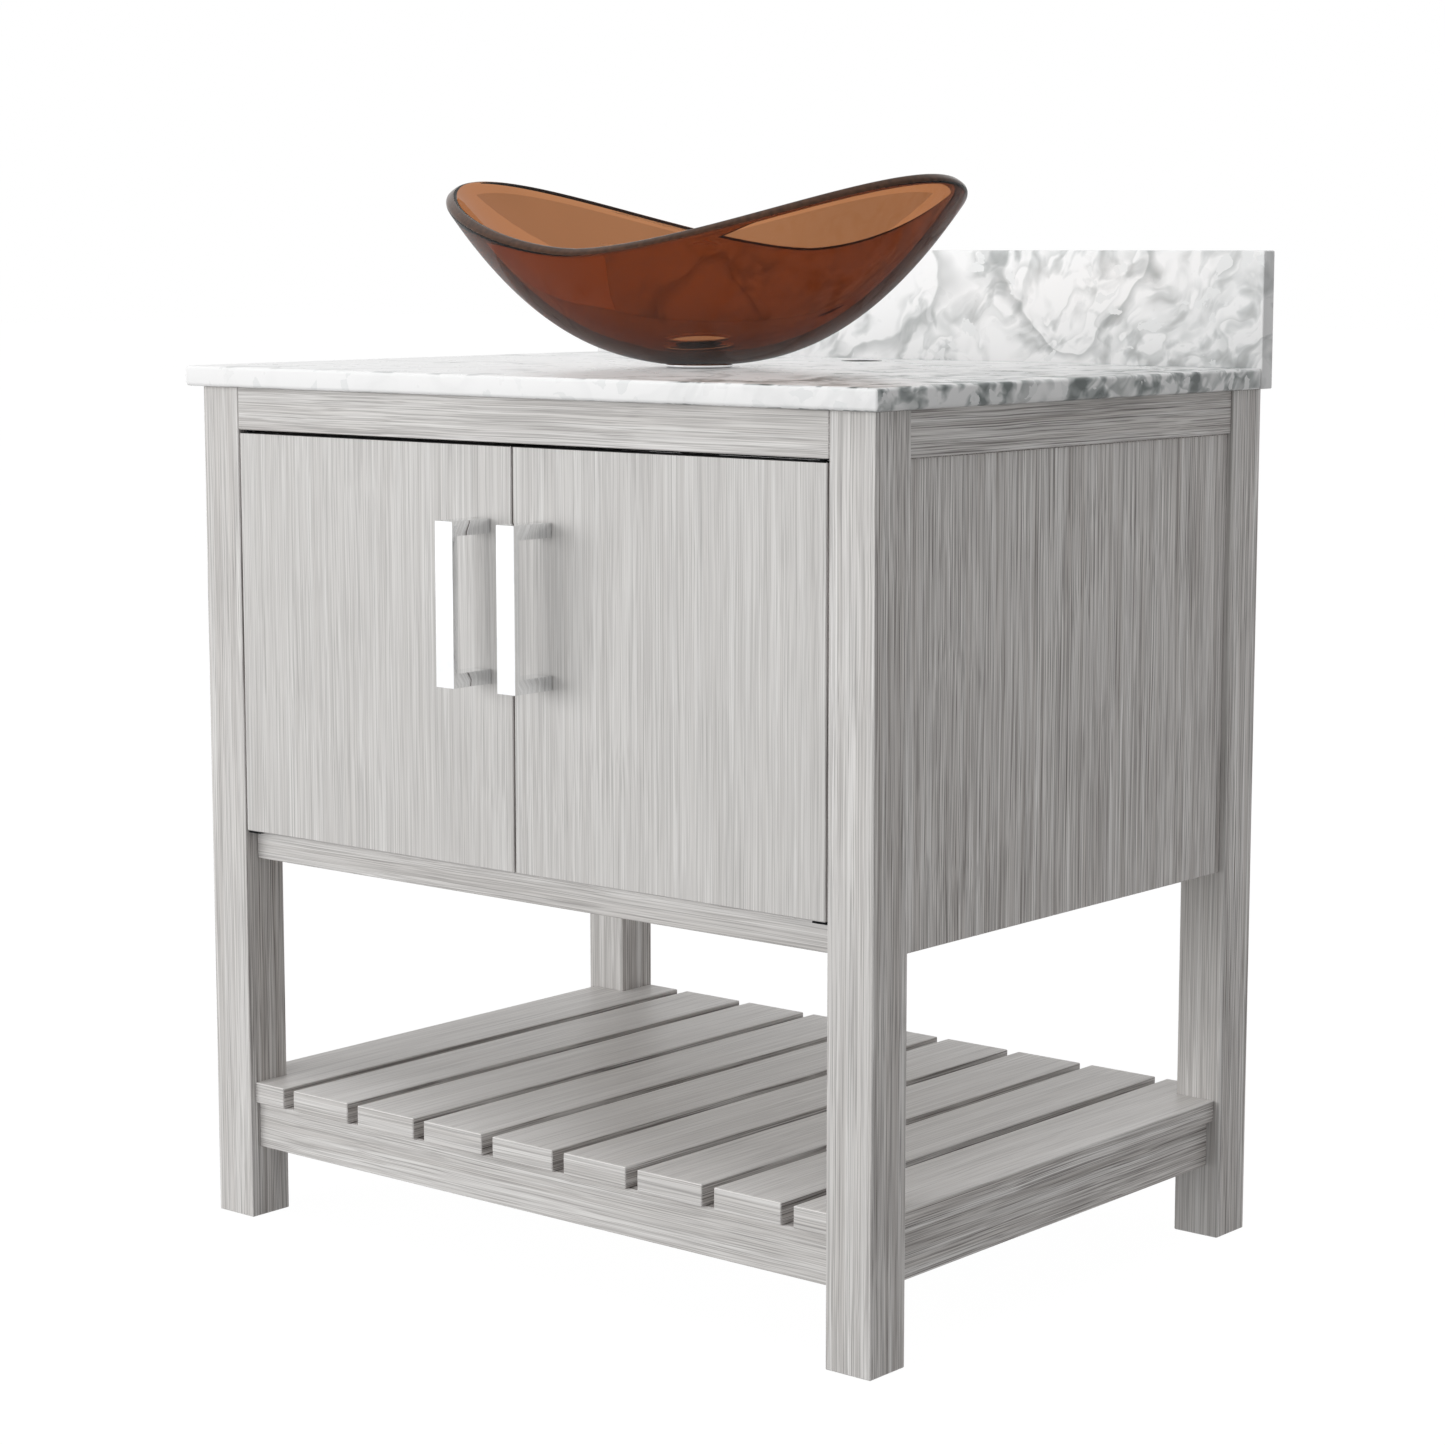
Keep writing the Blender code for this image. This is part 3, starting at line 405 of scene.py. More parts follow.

# %% [markdown]
# ## Chrome, nickel, steel, brass, rubber, felt and plastic
#
# Chrome is a mirror a few microns thick over polished zinc: almost no roughness, and a faint waviness left
# by the buffing wheel. Nickel on the strike plates is satin, brushed in one direction. The hinges are
# black-oxide steel, kept near-black as painted shade so they don't shine in the gaps round the doors. The
# locknut is turned brass, with fine marks from the tool. Rubber is dark and matt with a moulded grain, and
# the catch is moulded plastic. The felt is a near-black strip of painted shade over the doors, and the wall
# of a drilled hole in the stone is rough and painted near-black, as painted shade inside the hole.

# %% Metals and mouldings


def metal(name, colour, roughness, cell, spread, lift):
    """A metal with a fine surface pattern of the given cell size, stretched by spread along X."""
    made, tree, shader = finish(name, Metallic=1.0, Roughness=roughness)
    here = add(tree, "TexCoord").outputs["Object"]
    scale = (1 / (cell * spread), 1 / cell, 1 / cell)
    here = add(tree, "Mapping", {"Vector": here, "Scale": scale}).outputs[0]
    marks = add(tree, "TexNoise", {"Vector": here, "Scale": 1.0, "Detail": 2.0}).outputs["Fac"]
    shade = ramp(tree, marks, (0.3, tuple(0.93 * v for v in tint(colour)[:3]) + (1.0,)), (0.7, tint(colour)))
    tree.links.new(shade, shader.inputs["Base Color"])
    low, high = 0.7 * roughness, 1.4 * roughness
    rough = add(tree, "MapRange", {"Value": marks, "To Min": low, "To Max": high})
    tree.links.new(rough.outputs[0], shader.inputs["Roughness"])
    bump = add(tree, "Bump", {"Height": marks, "Strength": 0.2, "Distance": lift})
    tree.links.new(bump.outputs[0], shader.inputs["Normal"])
    return made


def moulded(name, dark, light, roughness, cell, lift):
    """Rubber or plastic with a fine moulded grain."""
    made, tree, shader = finish(name, Roughness=roughness, IOR=1.5)
    here = add(tree, "TexCoord").outputs["Object"]
    grain = add(tree, "TexNoise", {"Vector": here, "Scale": 1 / cell, "Detail": 2.0}).outputs["Fac"]
    tree.links.new(ramp(tree, grain, (0.3, tint(dark)), (0.7, tint(light))), shader.inputs["Base Color"])
    bump = add(tree, "Bump", {"Height": grain, "Strength": 0.3, "Distance": lift})
    tree.links.new(bump.outputs[0], shader.inputs["Normal"])
    return made


chrome = metal("polished_chrome", "#f2f3f4", 0.045, 18 * MM, 1.0, 0.0001 * MM)
nickel = metal("satin_nickel", "#b9b5ae", 0.30, 0.6 * MM, 14.0, 0.02 * MM)
brass = metal("turned_brass", "#c79a52", 0.26, 0.8 * MM, 6.0, 0.02 * MM)
zinc = metal("zinc_plated_screw", "#c2c4c6", 0.28, 1.2 * MM, 1.0, 0.02 * MM)
rubber = moulded("moulded_rubber", "#151515", "#222222", 0.72, 0.9 * MM, 0.05 * MM)
# Black felt for the strip over the doors: a dark sheet of painted shade.
felt = moulded("black_felt", "#030303", "#0a0a0a", 0.95, 0.7 * MM, 0.1 * MM)
plastic = moulded("moulded_white_nylon", "#d8d7d2", "#e6e5e1", 0.38, 0.8 * MM, 0.03 * MM)
# Painted shade: the wall of a drilled hole is painted near-black, as shade inside the hole.
hole_wall_shade = moulded("hole_wall_painted_shade", "#161616", "#262626", 0.8, 2 * MM, 0.1 * MM)
# Painted shade: the hinges are near-black so no reflection shows in the gaps round the doors.
gap_shade_steel = metal("black_oxide_steel_gap_shade", "#17181a", 0.42, 0.6 * MM, 14.0, 0.02 * MM)
magnet = moulded("sintered_magnet_face", "#2c2b2a", "#3d3b39", 0.5, 1.5 * MM, 0.03 * MM)
print(len(bpy.data.materials), "finishes so far")

# %% [markdown]
# ## Dress the boards
#
# The solid boards keep their shapes. Each is given the oak cut along its own length: legs, panels and doors
# stand with the grain upright, rails run crossways, and slats run from front to back.

# %% Boards


def paint(name, material):
    slots = nodes[name].data.materials
    slots.clear()
    slots.append(material)


ALONG_X = [f"{end}_{level}_rail" for end in ("front", "back") for level in ("top", "bottom")]
ALONG_X += ["shelf_rail_front", "shelf_rail_back"]
for name in nodes:
    if name in ALONG_X:
        paint(name, oak["X"])
    elif name.startswith(("shelf_", "side_top_rail")):
        paint(name, oak["Y"])
    elif name.startswith("door_"):
        paint(name, door_oak)
    elif name.startswith(("leg_", "side_panel")):
        paint(name, oak["Z"])
    elif name.startswith(("cabinet_floor", "corner_block")):
        paint(name, melamine)
    # Hinges get the near-black steel: painted shade in the door gaps.
    elif name.startswith("hinge_"):
        paint(name, gap_shade_steel)
    elif name.startswith("strike_"):
        paint(name, nickel)
    elif name.endswith(("gasket", "washer", "seal")):
        paint(name, rubber)
print(sum(1 for o in nodes.values() if o.data.materials[0] in oak.values()), "oak boards")

# %% [markdown]
# ## Helpers for shapes
#
# A few small makers cover most fittings. `block` is a box with its edges rounded over, `turned` spins a
# profile round an axis as a lathe does, and `carve` cuts one piece with another. `settle` puts a finished
# piece on its body and hides the solid it stands for.

# %% block, turned, carve and settle


def from_bmesh(name, bm, material, smooth=True, sharp=35):
    mesh = bpy.data.meshes.new(name)
    bmesh.ops.recalc_face_normals(bm, faces=bm.faces)
    bm.to_mesh(mesh)
    bm.free()
    mesh.materials.append(material)
    if smooth:
        mesh.shade_smooth()
        mesh.set_sharp_from_angle(angle=radians(sharp))
    made = bpy.data.objects.new(name, mesh)
    bpy.context.scene.collection.objects.link(made)
    return made


def block(name, low, high, radius, material, steps=4):
    """A box between two corners with every edge rounded over."""
    bm = bmesh.new()
    bmesh.ops.create_cube(bm, size=1.0)
    bmesh.ops.scale(bm, vec=[b - a for a, b in zip(low, high)], verts=bm.verts)
    bmesh.ops.bevel(
        bm, geom=bm.edges[:], offset=radius, segments=steps, profile=0.5, affect="EDGES", clamp_overlap=True
    )
    bmesh.ops.translate(bm, vec=[(a + b) / 2 for a, b in zip(low, high)], verts=bm.verts)
    return from_bmesh(name, bm, material, sharp=30)


def turned(name, profile, middle, material, steps=96, axis=(0, 0, 1)):
    """A profile of (radius, height) points spun about an axis through middle."""
    bm = bmesh.new()
    points = [bm.verts.new((radius, 0, height)) for radius, height in profile]
    edges = [bm.edges.new(pair) for pair in zip(points, points[1:])]
    if profile[0][0] > 0:
        edges.append(bm.edges.new((points[-1], points[0])))
    bmesh.ops.spin(bm, geom=points + edges, cent=(0, 0, 0), axis=(0, 0, 1), angle=2 * pi, steps=steps)
    bmesh.ops.remove_doubles(bm, verts=bm.verts, dist=0.002 * MM)
    upright = Vector((0, 0, 1)).rotation_difference(Vector(axis)).to_matrix().to_4x4()
    bmesh.ops.transform(bm, matrix=Matrix.Translation(middle) @ upright, verts=bm.verts)
    return from_bmesh(name, bm, material, sharp=40)


def carve(piece, tool, how="DIFFERENCE"):
    """Cuts one piece with another, for good, and throws the tool away."""
    cut = piece.modifiers.new("carve", "BOOLEAN")
    cut.operation = how
    cut.object = tool
    cut.solver = "EXACT"
    cut.material_mode = "TRANSFER"
    bpy.context.view_layer.update()
    mesh = bpy.data.meshes.new_from_object(piece.evaluated_get(bpy.context.evaluated_depsgraph_get()))
    piece.modifiers.clear()
    piece.data = mesh
    mesh.set_sharp_from_angle(angle=radians(35))
    bpy.data.objects.remove(tool)
    return piece


def settle(piece, body, slot, *stands_for):
    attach(piece, body)
    if stands_for:
        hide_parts(*stands_for)
    return piece


def middle_of(name):
    low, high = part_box(name)
    return [(a + b) / 2 for a, b in zip(low, high)]


# %% [markdown]
# ## The stone top and backsplash
#
# A mason cuts the slab, polishes its face and eases every edge by about three millimetres, because a sharp
# marble arris chips. The rounding is what catches the light as a soft white line round the top. The holes
# are drilled after, and their rims are only broken with a stone.

# %% Stone
EASED = 3.2 * MM
SPLASH_EASED = 1.4 * MM
FAUCET_HOLE_RADIUS = 18 * MM
FAUCET_TO_SPLASH = 64 * MM
DRAIN_HOLE_RADIUS = 22.5 * MM


def drill(slab, x, y, radius):
    """A through hole with a small chamfer at both ends, its wall painted near-black as painted shade."""
    low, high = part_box("countertop")
    chamfer = 0.8 * MM
    over = 5 * MM
    profile = [
        (0, high[2] + over),
        (radius + chamfer + over, high[2] + over),
        (radius, high[2] - chamfer),
        (radius, low[2] + chamfer),
        (radius + chamfer + over, low[2] - over),
        (0, low[2] - over),
    ]
    # The hole's wall is painted near-black: painted shade.
    return carve(slab, turned("drill", profile, (x, y, 0), hole_wall_shade, 72))


slab = block("marble_top", *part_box("countertop"), EASED, marble, steps=6)
bowl_x, bowl_y, _ = middle_of("drain_body")
faucet_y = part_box("backsplash")[0][1] - FAUCET_TO_SPLASH
drill(slab, 0.0, faucet_y, FAUCET_HOLE_RADIUS)
drill(slab, bowl_x, bowl_y, DRAIN_HOLE_RADIUS)
settle(slab, "vanity", "white_marble", "countertop")
splash = block("marble_backsplash", *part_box("backsplash"), SPLASH_EASED, splash_marble, steps=4)
settle(splash, "vanity", "white_marble", "backsplash")
print("faucet hole at y =", round(faucet_y, 4))

# %% [markdown]
# ## The glass bowl
#
# A boat-shaped bowl is not a turned shape: seen from above it is an ellipse, and its rim climbs towards the
# two ends. It could be sculpted, but a formula keeps it true. Rings run from the flat seat round the drain
# out to the rim. Each ring is partly circle and partly ellipse, and its height grows as a power of its
# distance, which makes the belly. The wall is then thickened inwards, as slumped glass keeps its thickness,
# and the cut rim is ground round and polished.
#
# The bowl is kept from shadowing or tinting the stone. Light that glass bends through itself would be drawn
# as plain darkness below it, where the real stone stays white.

# %% Bowl
HALF_LONG = 257.5 * MM
HALF_WIDE = 163.5 * MM
SIDE_HIGH = 92.2 * MM
TIP_RISE = 59.7 * MM
TIP_POWER = 1.63
BELLY_POWER = 2.45
SEAT = 34 * MM
RIM_ROUND = 3.8 * MM


def rim_height(angle):
    return SIDE_HIGH + TIP_RISE * (cos(angle) ** 2 + 0.0004) ** (TIP_POWER / 2)


def belly(share, angle):
    """A point of the outside: share 0 is the edge of the seat, share 1 the rim."""
    x = (SEAT + (HALF_LONG - SEAT) * share) * cos(angle)
    y = (SEAT + (HALF_WIDE - SEAT) * share) * sin(angle)
    reach = hypot(x / HALF_LONG, y / HALF_WIDE)
    flat = (reach * SEAT / hypot(x, y)) ** BELLY_POWER
    return x, y, rim_height(angle) * (reach**BELLY_POWER - flat) / (1 - flat)


def slump_bowl(rounds=128, rings=30):
    bm = bmesh.new()
    turn = [2 * pi * step / rounds for step in range(rounds)]
    angles = [angle - 0.22 * sin(2 * angle) for angle in turn]
    inner_rings = (DRAIN_HOLE_RADIUS, (DRAIN_HOLE_RADIUS + SEAT) / 2)
    loops = [[bm.verts.new((r * cos(a), r * sin(a), 0)) for a in angles] for r in inner_rings]
    loops += [[bm.verts.new(belly(ring / rings, a)) for a in angles] for ring in range(rings + 1)]
    for inner, outer in zip(loops, loops[1:]):
        for step in range(rounds):
            after = (step + 1) % rounds
            bm.faces.new((inner[step], inner[after], outer[after], outer[step]))
    bmesh.ops.recalc_face_normals(bm, faces=bm.faces)
    if sum(face.normal.z for face in bm.faces) > 0:
        bmesh.ops.reverse_faces(bm, faces=bm.faces)
    mesh = bpy.data.meshes.new("glass_vessel")
    bm.to_mesh(mesh)
    bm.free()
    mesh.materials.append(glass)
    mesh.materials.append(rim_stain)
    made = bpy.data.objects.new("glass_vessel", mesh)
    bpy.context.scene.collection.objects.link(made)
    wall = made.modifiers.new("wall", "SOLIDIFY")
    wall.thickness = WALL
    wall.offset = -1.0
    wall.material_offset_rim = 1
    wall.use_even_offset = True
    wall.use_quality_normals = True
    polish = made.modifiers.new("polish", "BEVEL")
    polish.width = RIM_ROUND
    polish.segments = 5
    polish.limit_method = "ANGLE"
    polish.angle_limit = radians(55)
    bpy.context.view_layer.update()
    whole = bpy.data.meshes.new_from_object(made.evaluated_get(bpy.context.evaluated_depsgraph_get()))
    made.modifiers.clear()
    made.data = whole
    whole.shade_smooth()
    return made


def fit_in(piece, node):
    """Scales the piece's points to fill the solid's box exactly, so that it never stands outside it."""
    low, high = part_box(node)
    points = [v.co for v in piece.data.vertices]
    for axis in range(3):
        near = min(p[axis] for p in points)
        far = max(p[axis] for p in points)
        k = (high[axis] - low[axis]) / (far - near)
        for p in points:
            p[axis] = low[axis] + (p[axis] - near) * k
    return piece


bowl = fit_in(slump_bowl(), "glass_bowl")
bowl.visible_shadow = False
bowl.visible_diffuse = False
settle(bowl, "vanity", "brown_glass", "glass_bowl")
print("bowl with", len(bowl.data.polygons), "faces")

# %% [markdown]
# ## The drain
#
# Everything here is turned on one axis: a ring that lifts the round-bottomed bowl off the stone, a flanged
# tube with a coarse thread, a nut and washer that clamp it from below, and a domed push stopper. Each is a
# profile with real roundings, because on chrome the roundings are all that the eye sees.

# %% Ring and drain tube
RING_RADIUS = 28.5 * MM
FLANGE = 31.5 * MM
TUBE = 21 * MM
BORE = 16.5 * MM
PITCH = 1.8 * MM
THREAD_DEPTH = 0.7 * MM
HUB = 6.5 * MM
STEM_HOLE = 3.4 * MM


def rounded_ring(outer, inner, low, high, radius, steps=4):
    """The section of a flat ring with four rounded corners, down its outer side."""
    section = []
    corners = ((outer - radius, high - radius, 90), (outer - radius, low + radius, 0))
    for centre, height, start in corners:
        for step in range(steps + 1):
            angle = radians(start - 90 * step / steps)
            section.append((centre + radius * cos(angle), height + radius * sin(angle)))
    return section + [(inner, low), (inner, high)]


def bounds_z(name):
    low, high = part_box(name)
    return low[2], high[2]


axis_point = (bowl_x, bowl_y, 0)
ring_low, ring_high = bounds_z("mounting_ring")
ring_section = rounded_ring(RING_RADIUS, DRAIN_HOLE_RADIUS, ring_low, ring_high, 0.9 * MM)
ring = turned("bowl_ring", ring_section, axis_point, chrome)
settle(ring, "vanity", "polished_chrome", "mounting_ring")


def drain_tube():
    """A flange with a rolled lip, the thread as stacked ridges, and a bore that flares at the top."""
    low, high = bounds_z("drain_body")
    gasket_top = bounds_z("flange_gasket")[1] + 0.3 * MM
    profile = [(FLANGE - 1.6 * MM, high), (FLANGE - 0.7 * MM, high - 0.1 * MM), (FLANGE, high - 0.6 * MM)]
    profile += [(FLANGE, gasket_top), (TUBE, gasket_top)]
    height = bounds_z("drain_washer")[1]
    profile.append((TUBE, height))
    while height - PITCH > low + 1 * MM:
        profile += [(TUBE, height - 0.2 * PITCH), (TUBE - THREAD_DEPTH, height - 0.6 * PITCH)]
        height -= PITCH
    profile += [(TUBE - THREAD_DEPTH, low + 0.5 * MM), (TUBE - 1.2 * MM, low)]
    profile += [(BORE, low), (BORE, high - 6 * MM)]
    profile += [(BORE + 1.5 * MM, high - 3 * MM), (TUBE, high - 0.6 * MM), (TUBE + 0.8 * MM, high)]
    tube = turned("drain_tube", profile, axis_point, chrome)
    boss_z = bounds_z("drain_stopper")[0] + 7.3 * MM
    arm = 1.5 * MM
    for x, y in ((TUBE - 2.5 * MM, arm), (arm, TUBE - 2.5 * MM)):
        low_corner = (bowl_x - x, bowl_y - y, boss_z - 2.6 * MM)
        high_corner = (bowl_x + x, bowl_y + y, boss_z + 2.6 * MM)
        carve(tube, block("arm", low_corner, high_corner, 0.6 * MM, chrome, 2), "UNION")
    hub = rounded_ring(HUB, STEM_HOLE, boss_z - 4 * MM, boss_z + 4 * MM, 0.8 * MM)
    above, below = boss_z + 9 * MM, boss_z - 9 * MM
    stem_hole = [(0, above), (STEM_HOLE, above), (STEM_HOLE, below), (0, below)]
    solid_hub = [(0, boss_z + 4 * MM)] + hub[:-2] + [(0, boss_z - 4 * MM)]
    carve(tube, turned("hub", solid_hub, axis_point, chrome, 48), "UNION")
    return carve(tube, turned("stem_hole", stem_hole, axis_point, chrome, 48))


settle(drain_tube(), "vanity", "polished_chrome", "drain_body")

# %% [markdown]
# The nut is a turned blank with flats milled on it, so it is an eight-sided bar met by a turned shape with
# chamfered corners. The tailpiece is thin tube with a rolled bead, where its slip nut stops.

# %% Nut and tailpiece


def locknut():
    low, high = bounds_z("drain_locknut")
    bm = bmesh.new()
    bmesh.ops.create_cone(bm, cap_ends=True, segments=8, radius1=29 * MM, radius2=29 * MM, depth=high - low)
    bmesh.ops.translate(bm, vec=middle_of("drain_locknut"), verts=bm.verts)
    bar = from_bmesh("clamp_nut", bm, brass, sharp=30)
    chamfer = 2.2 * MM
    corner, flat = 26.3 * MM, 29.2 * MM
    blank = [(0, high), (corner, high), (flat, high - chamfer)]
    blank += [(flat, low + chamfer), (corner, low), (0, low)]
    carve(bar, turned("blank", blank, axis_point, brass, 64), "INTERSECT")
    bore = [(0, high + MM), (21.3 * MM, high + MM), (21.3 * MM, low - MM), (0, low - MM)]
    return carve(bar, turned("bore", bore, axis_point, brass, 64))


def tailpiece():
    low, high = bounds_z("drain_tailpiece")
    outer, inner = 15.9 * MM, 14.4 * MM
    bead = high - 34 * MM
    profile = [(outer, high)]
    for step in range(9):
        angle = pi * step / 8
        profile.append((outer + 1.6 * MM * sin(angle), bead + 2 * MM * cos(angle)))
    profile += [(outer, low + 0.4 * MM), (outer - 0.4 * MM, low), (inner, low), (inner, high)]
    return turned("tailpiece", profile, axis_point, chrome, 72)


settle(locknut(), "vanity", "drain_brass", "drain_locknut")
settle(tailpiece(), "vanity", "polished_chrome", "drain_tailpiece")

# %% [markdown]
# The push stopper is a spun cap: a shallow dome with a tight rounded edge, flat below, and a stem that
# slides through the spider. It moves with its own body, so it drops when pushed.

# %% Stopper


def push_stopper():
    low, high = bounds_z("drain_stopper")
    cap_under = bounds_z("stopper_seal")[1] + 0.3 * MM
    radius, edge, crown = 29.3 * MM, 1.8 * MM, high - cap_under - 1.8 * MM
    dome = []
    for step in range(19):
        share = step / 18
        height = cap_under + edge + crown * (1 - share**2.4) - 0.12 * MM * share**8
        dome.append((radius * share * 0.985, height))
    rim = []
    roll = 0.9 * MM
    for step in range(5):
        angle = radians(60 - 150 * step / 4)
        rim.append((radius - roll + roll * cos(angle), cap_under + roll + roll * sin(angle)))
    stem, collar = 3 * MM, 4.8 * MM
    tail = [(stem + 0.8 * MM, cap_under), (stem, cap_under - 0.8 * MM), (stem, low + 3 * MM)]
    tail.append((collar - 0.4 * MM, low + 3 * MM))
    tail += [(collar, low + 2.6 * MM), (collar, low + 0.4 * MM), (collar - 0.4 * MM, low), (0, low)]
    return turned("push_stopper", dome + rim + tail, axis_point, chrome, 96)


settle(push_stopper(), "stopper", "polished_chrome", "drain_stopper")
print("stopper top at", round(bounds_z("drain_stopper")[1], 4))

# %% [markdown]
# ## The pulls
#
# A flat-bar pull is bar stock, mitred, welded, ground flush and chromed. Its edges are barely broken, so it
# reads as a crisp square C. The gap behind the bar is cut out of one eased block, and the inner corners
# stay square, as they do where bars are mitred.

# %% Pulls


def flat_bar_pull(side):
    low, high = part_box(f"pull_{side}")
    bar, foot = 6 * MM, 12 * MM
    pull = block(f"flat_bar_pull_{side}", low, high, 0.45 * MM, chrome, 3)
    gap_low = (low[0] - bar, low[1] + bar, low[2] + foot)
    gap_high = (high[0] + bar, high[1] + bar, high[2] - foot)
    return carve(pull, block("gap", gap_low, gap_high, 0.2 * MM, chrome, 1))


def cross_screw(name, seat, outward, head, rise, material, shank=0.0, shank_radius=0.0):
    """A cross-recessed screw head on a surface, with its shank behind it."""
    profile = [(head * share, rise * (1 - 0.45 * share**2.2)) for share in (0, 0.25, 0.5, 0.72, 0.88)]
    profile += [(head * 0.97, rise * 0.38), (head, rise * 0.18), (head, 0)]
    if shank:
        profile += [(shank_radius, 0)]
        height = 0.0
        while height > -shank + 2 * MM:
            profile += [(shank_radius, height - 0.2 * MM), (shank_radius * 0.84, height - 0.55 * MM)]
            height -= 0.75 * MM
        profile += [(shank_radius * 0.6, -shank), (0, -shank)]
    else:
        profile += [(0, 0)]
    screw = turned(name, profile, seat, material, 36, outward)
    turn = Vector((0, 0, 1)).rotation_difference(Vector(outward)).to_matrix().to_4x4()
    for wide, deep in ((0.62, 0.13), (0.13, 0.62)):
        half = (head * wide, head * deep, rise * 0.6)
        slot = block("recess", [-v for v in half], half, 0.05 * MM, material, 1)
        slot.data.transform(Matrix.Translation(Vector(seat)) @ turn @ Matrix.Translation((0, 0, rise)))
        carve(screw, slot)
    return screw


for side in ("left", "right"):
    settle(flat_bar_pull(side), f"door_{side}", "polished_chrome", f"pull_{side}")
    for level in ("upper", "lower"):
        node = f"pull_screw_{side}_{level}"
        low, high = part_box(node)
        head_high = 2.4 * MM
        seat = ((low[0] + high[0]) / 2, high[1] - head_high, (low[2] + high[2]) / 2)
        length = high[1] - low[1] - head_high
        name = f"machine_screw_{side}_{level}"
        screw = cross_screw(name, seat, (0, 1, 0), 4.2 * MM, head_high, zinc, length, 2 * MM)
        settle(screw, f"door_{side}", "satin_nickel", node)

# %% [markdown]
# ## Hinge screws, catch and strike plates
#
# This is the small hardware that shows when a door is open: flush screws in the hinge leaves, the catch
# with its two magnets and two screws, and a dimpled rivet in each strike plate. The corner blocks have two
# screws each, and a strip of black felt under the front rail is painted shade: it keeps the gap above the
# doors dark.

# %% Small hardware


def leaf_screws(side):
    """Two flush screws in each door leaf, and one in the arm that lies on the bottom rail."""
    for end, outward in (("top", 1), ("bottom", -1)):
        low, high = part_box(f"hinge_leaf_{end}_{side}")
        face = high[2] if outward > 0 else low[2]
        y = (low[1] + high[1]) / 2
        inner, outer = sorted((low[0], high[0]), key=abs)
        for index, share in enumerate((0.12, 0.55)):
            x = inner + (outer - inner) * share
            seat = (x, y, face - outward * 0.35 * MM)
            name = f"leaf_screw_{end}_{side}_{index + 1}"
            screw = cross_screw(name, seat, (0, 0, outward), 2.9 * MM, 0.5 * MM, zinc)
            settle(screw, f"door_{side}", "satin_nickel")
    low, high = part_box(f"hinge_pin_leaf_bottom_{side}")
    rail_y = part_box("front_bottom_rail")[0][1] + 8 * MM
    plate_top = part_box("front_bottom_rail")[1][2] + 1.9 * MM
    seat = ((low[0] + high[0]) / 2, rail_y, plate_top - 0.3 * MM)
    screw = cross_screw(f"arm_screw_{side}", seat, (0, 0, 1), 2.9 * MM, 0.5 * MM, zinc)
    settle(screw, "vanity", "satin_nickel")


def strike_rivet(side):
    low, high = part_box(f"strike_plate_{side}")
    seat = ((low[0] + high[0]) / 2, high[1] - 0.3 * MM, (low[2] + high[2]) / 2)
    profile = [(0, 0.25 * MM), (1.2 * MM, 0.5 * MM), (2.2 * MM, 0.35 * MM), (2.6 * MM, 0), (0, 0)]
    rivet = turned(f"strike_rivet_{side}", profile, seat, zinc, 32, (0, 1, 0))
    settle(rivet, f"door_{side}", "satin_nickel")


def magnetic_catch():
    """The moulded body with softened edges, two magnet faces in its nose, and two screws on its plate."""
    low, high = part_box("magnetic_catch")
    rail_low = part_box("front_top_rail")[0][2]
    nose_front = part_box("strike_plate_left")[1][1] + 0.3 * MM
    body = block("catch_body", (low[0], nose_front, low[2]), high, 0.9 * MM, plastic, 3)
    pad_low = (low[0], low[1], rail_low)
    pad_high = (high[0], nose_front + 4 * MM, high[2])
    carve(body, block("pad", pad_low, pad_high, 0.5 * MM, plastic, 2), "UNION")
    settle(body, "vanity", "white_plastic", "magnetic_catch")
    for side, sign in (("left", -1), ("right", 1)):
        plate_low, plate_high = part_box(f"strike_plate_{side}")
        inset = 2.5 * MM
        face_low = (plate_low[0] + inset, nose_front - 0.1 * MM, plate_low[2] + inset)
        face_high = (plate_high[0] - inset, nose_front + 2 * MM, plate_high[2] - inset)
        settle(block(f"magnet_{side}", face_low, face_high, 0.3 * MM, magnet, 2), "vanity", "satin_nickel")
        seat = (sign * 13 * MM, high[1] - 0.6 * MM, (rail_low + high[2]) / 2)
        screw = cross_screw(f"catch_screw_{side}", seat, (0, 1, 0), 3.4 * MM, 1.4 * MM, zinc)
        screw.data.transform(Matrix.Translation((0, -0.9 * MM, 0)))
        settle(screw, "vanity", "satin_nickel")


def block_screws(end, side):
    """Two screws through the slanting face of a corner block into the leg behind it."""
    low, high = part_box(f"corner_block_{end}_{side}")
    sign_x = -1 if side == "right" else 1
    sign_y = 1 if end == "front" else -1
    middle = [(a + b) / 2 for a, b in zip(low, high)]
    outward = Vector((sign_x, sign_y, 0)).normalized()
    along = Vector((-sign_y, sign_x, 0)).normalized()
    for index, offset in enumerate((-10 * MM, 10 * MM)):
        seat = Vector(middle) + along * offset - outward * 0.3 * MM
        name = f"block_screw_{end}_{side}_{index + 1}"
        settle(cross_screw(name, seat, outward, 4.0 * MM, 1.8 * MM, zinc), "vanity", "satin_nickel")


def dust_strip():
    """Black felt under the front rail, behind the gap over the doors: painted shade that keeps the gap dark.
    """
    rail_low, rail_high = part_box("front_top_rail")
    door_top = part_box("door_left")[1][2]
    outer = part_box("door_right")[1][0]
    low = (-outer, rail_high[1] - 4 * MM, door_top + 0.3 * MM)
    high = (outer, rail_high[1] - 0.8 * MM, rail_low[2] - 0.02 * MM)
    settle(block("dust_strip", low, high, 0.3 * MM, felt, 2), "vanity", "black_rubber")


for side in ("left", "right"):
    leaf_screws(side)
    strike_rivet(side)
    for end in ("front", "back"):
        block_screws(end, side)
magnetic_catch()
dust_strip()

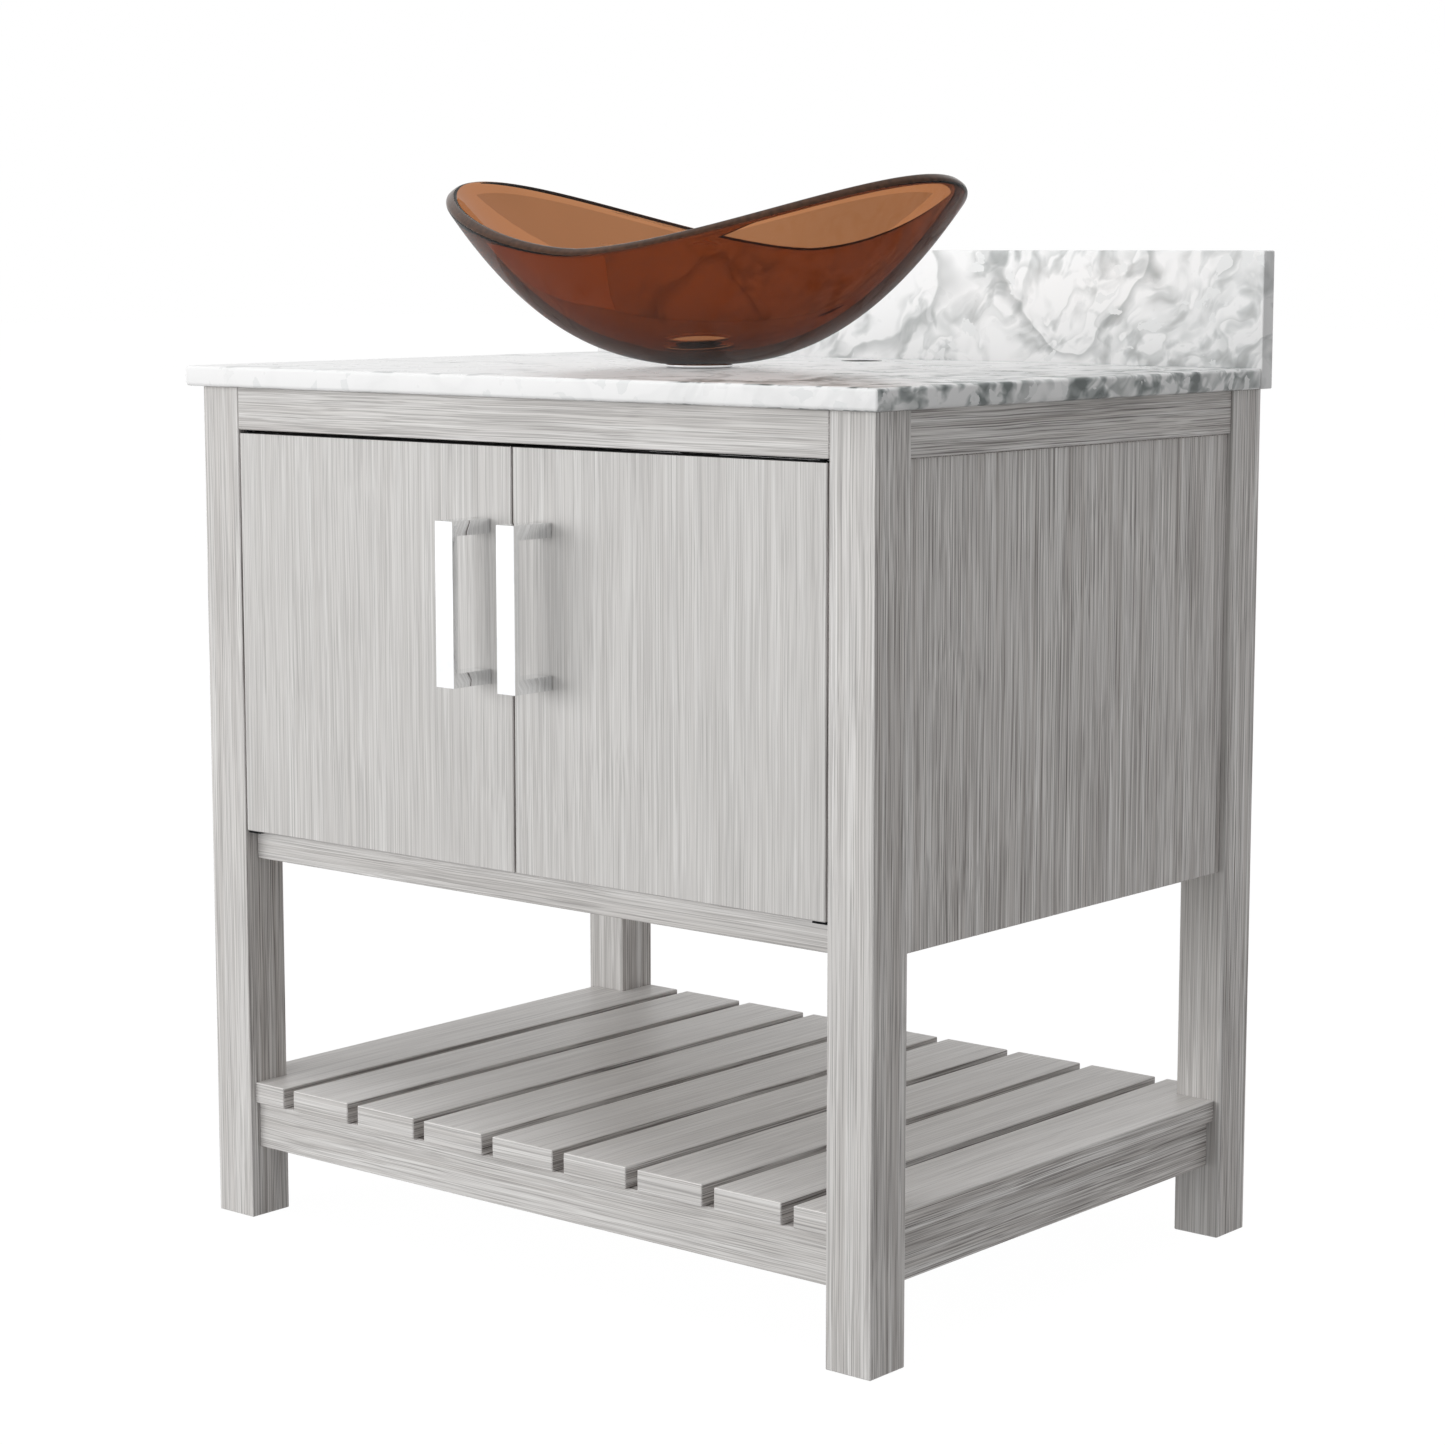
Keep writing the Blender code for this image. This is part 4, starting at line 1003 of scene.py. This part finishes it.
# %% [markdown]
# ## Light and room
#
# The object stands in a white light tent. A large soft box at the front left is the main light, so the
# doors are bright and the right side falls into soft shade. The tent itself is a plain white world: mirrors
# see it at full strength, glass a little less, and matt surfaces get a gentler share, as if its walls stood
# further off. The floor glows like a light table. A white card at the front left gives the flat chrome
# something bright to mirror.

# %% Studio
TENT = {"matt": 0.47, "mirror": 1.0, "seen": 1.0}
TENT_THROUGH_GLASS = 0.88
FLOOR = {"matt": 0.26, "mirror": 1.15, "seen": 0.985}
CARD_GLOW = 1.3
FLOOR_PAPER = 0.04


def share_by_ray(tree, matt, mirror, seen, through=None):
    """One brightness for matt surfaces, one for mirrors, one through glass and one for the camera."""
    path = add(tree, "LightPath")
    level = seen
    shares = {"Is Glossy Ray": mirror, "Is Diffuse Ray": matt, "Is Transmission Ray": through}
    for flag, share in shares.items():
        if share is not None:
            inputs = {0: path.outputs[flag], 2: level, 3: share}
            level = add(tree, "Mix", inputs, data_type="FLOAT").outputs[0]
    return level


def soft_box(name, place, aim, width, height, power):
    lamp = bpy.data.lights.new(name, "AREA")
    lamp.shape = "RECTANGLE"
    lamp.size, lamp.size_y = width, height
    lamp.energy = power
    made = bpy.data.objects.new(name, lamp)
    made.location = place
    made.rotation_euler = (Vector(aim) - Vector(place)).to_track_quat("-Z", "Y").to_euler()
    made.visible_camera = False
    made.visible_glossy = False
    bpy.context.scene.collection.objects.link(made)
    return made


def white_tent():
    world = bpy.data.worlds.new("white_tent")
    bpy.context.scene.world = world
    world.use_nodes = True
    tree = world.node_tree
    tree.nodes.clear()
    level = share_by_ray(tree, **TENT, through=TENT_THROUGH_GLASS)
    glow = add(tree, "Background", {"Color": (1, 1, 1, 1), "Strength": level})
    add(tree, "OutputWorld", {"Surface": glow.outputs[0]})


def pale_floor():
    """A white floor that glows like a light table, with a trace of real shading for contact shadows."""
    made = bpy.data.materials.new("white_light_table")
    made.use_nodes = True
    tree = made.node_tree
    tree.nodes.clear()
    glow = add(tree, "Emission", {"Color": (1, 1, 1, 1), "Strength": share_by_ray(tree, **FLOOR)})
    paper = add(tree, "BsdfDiffuse", {"Color": (FLOOR_PAPER, FLOOR_PAPER, FLOOR_PAPER, 1)})
    both = add(tree, "AddShader", {0: glow.outputs[0], 1: paper.outputs[0]})
    add(tree, "OutputMaterial", {"Surface": both.outputs[0]})
    bm = bmesh.new()
    bmesh.ops.create_grid(bm, x_segments=4, y_segments=4, size=30.0)
    bmesh.ops.translate(bm, vec=(0, 0, -0.5 * MM), verts=bm.verts)
    floor = from_bmesh("studio_floor", bm, made, smooth=False)


def mirror_card():
    """A white card at the front left that only mirrors see."""
    made = bpy.data.materials.new("white_card")
    made.use_nodes = True
    tree = made.node_tree
    tree.nodes.clear()
    glow = add(tree, "Emission", {"Color": (1, 1, 1, 1), "Strength": CARD_GLOW})
    add(tree, "OutputMaterial", {"Surface": glow.outputs[0]})
    bm = bmesh.new()
    foot, end = (-2.85, -1.95), (-1.05, -3.25)
    corners = [(*foot, 0.0), (*end, 0.0), (*end, 2.2), (*foot, 2.2)]
    bm.faces.new([bm.verts.new(corner) for corner in corners])
    card = from_bmesh("mirror_card", bm, made, smooth=False)
    card.visible_camera = False
    card.visible_diffuse = False
    card.visible_transmission = False
    card.visible_shadow = False


white_tent()
pale_floor()
mirror_card()
soft_box("main_light", (-2.1, -4.6, 1.0), (0, 0, 0.45), 5.5, 2.6, 220)
soft_box("top_light", (0.2, -0.4, 3.0), (0, 0.05, 0.8), 2.0, 2.0, 25)
bpy.context.scene.view_settings.view_transform = "Standard"
bpy.context.scene.view_settings.look = "None"
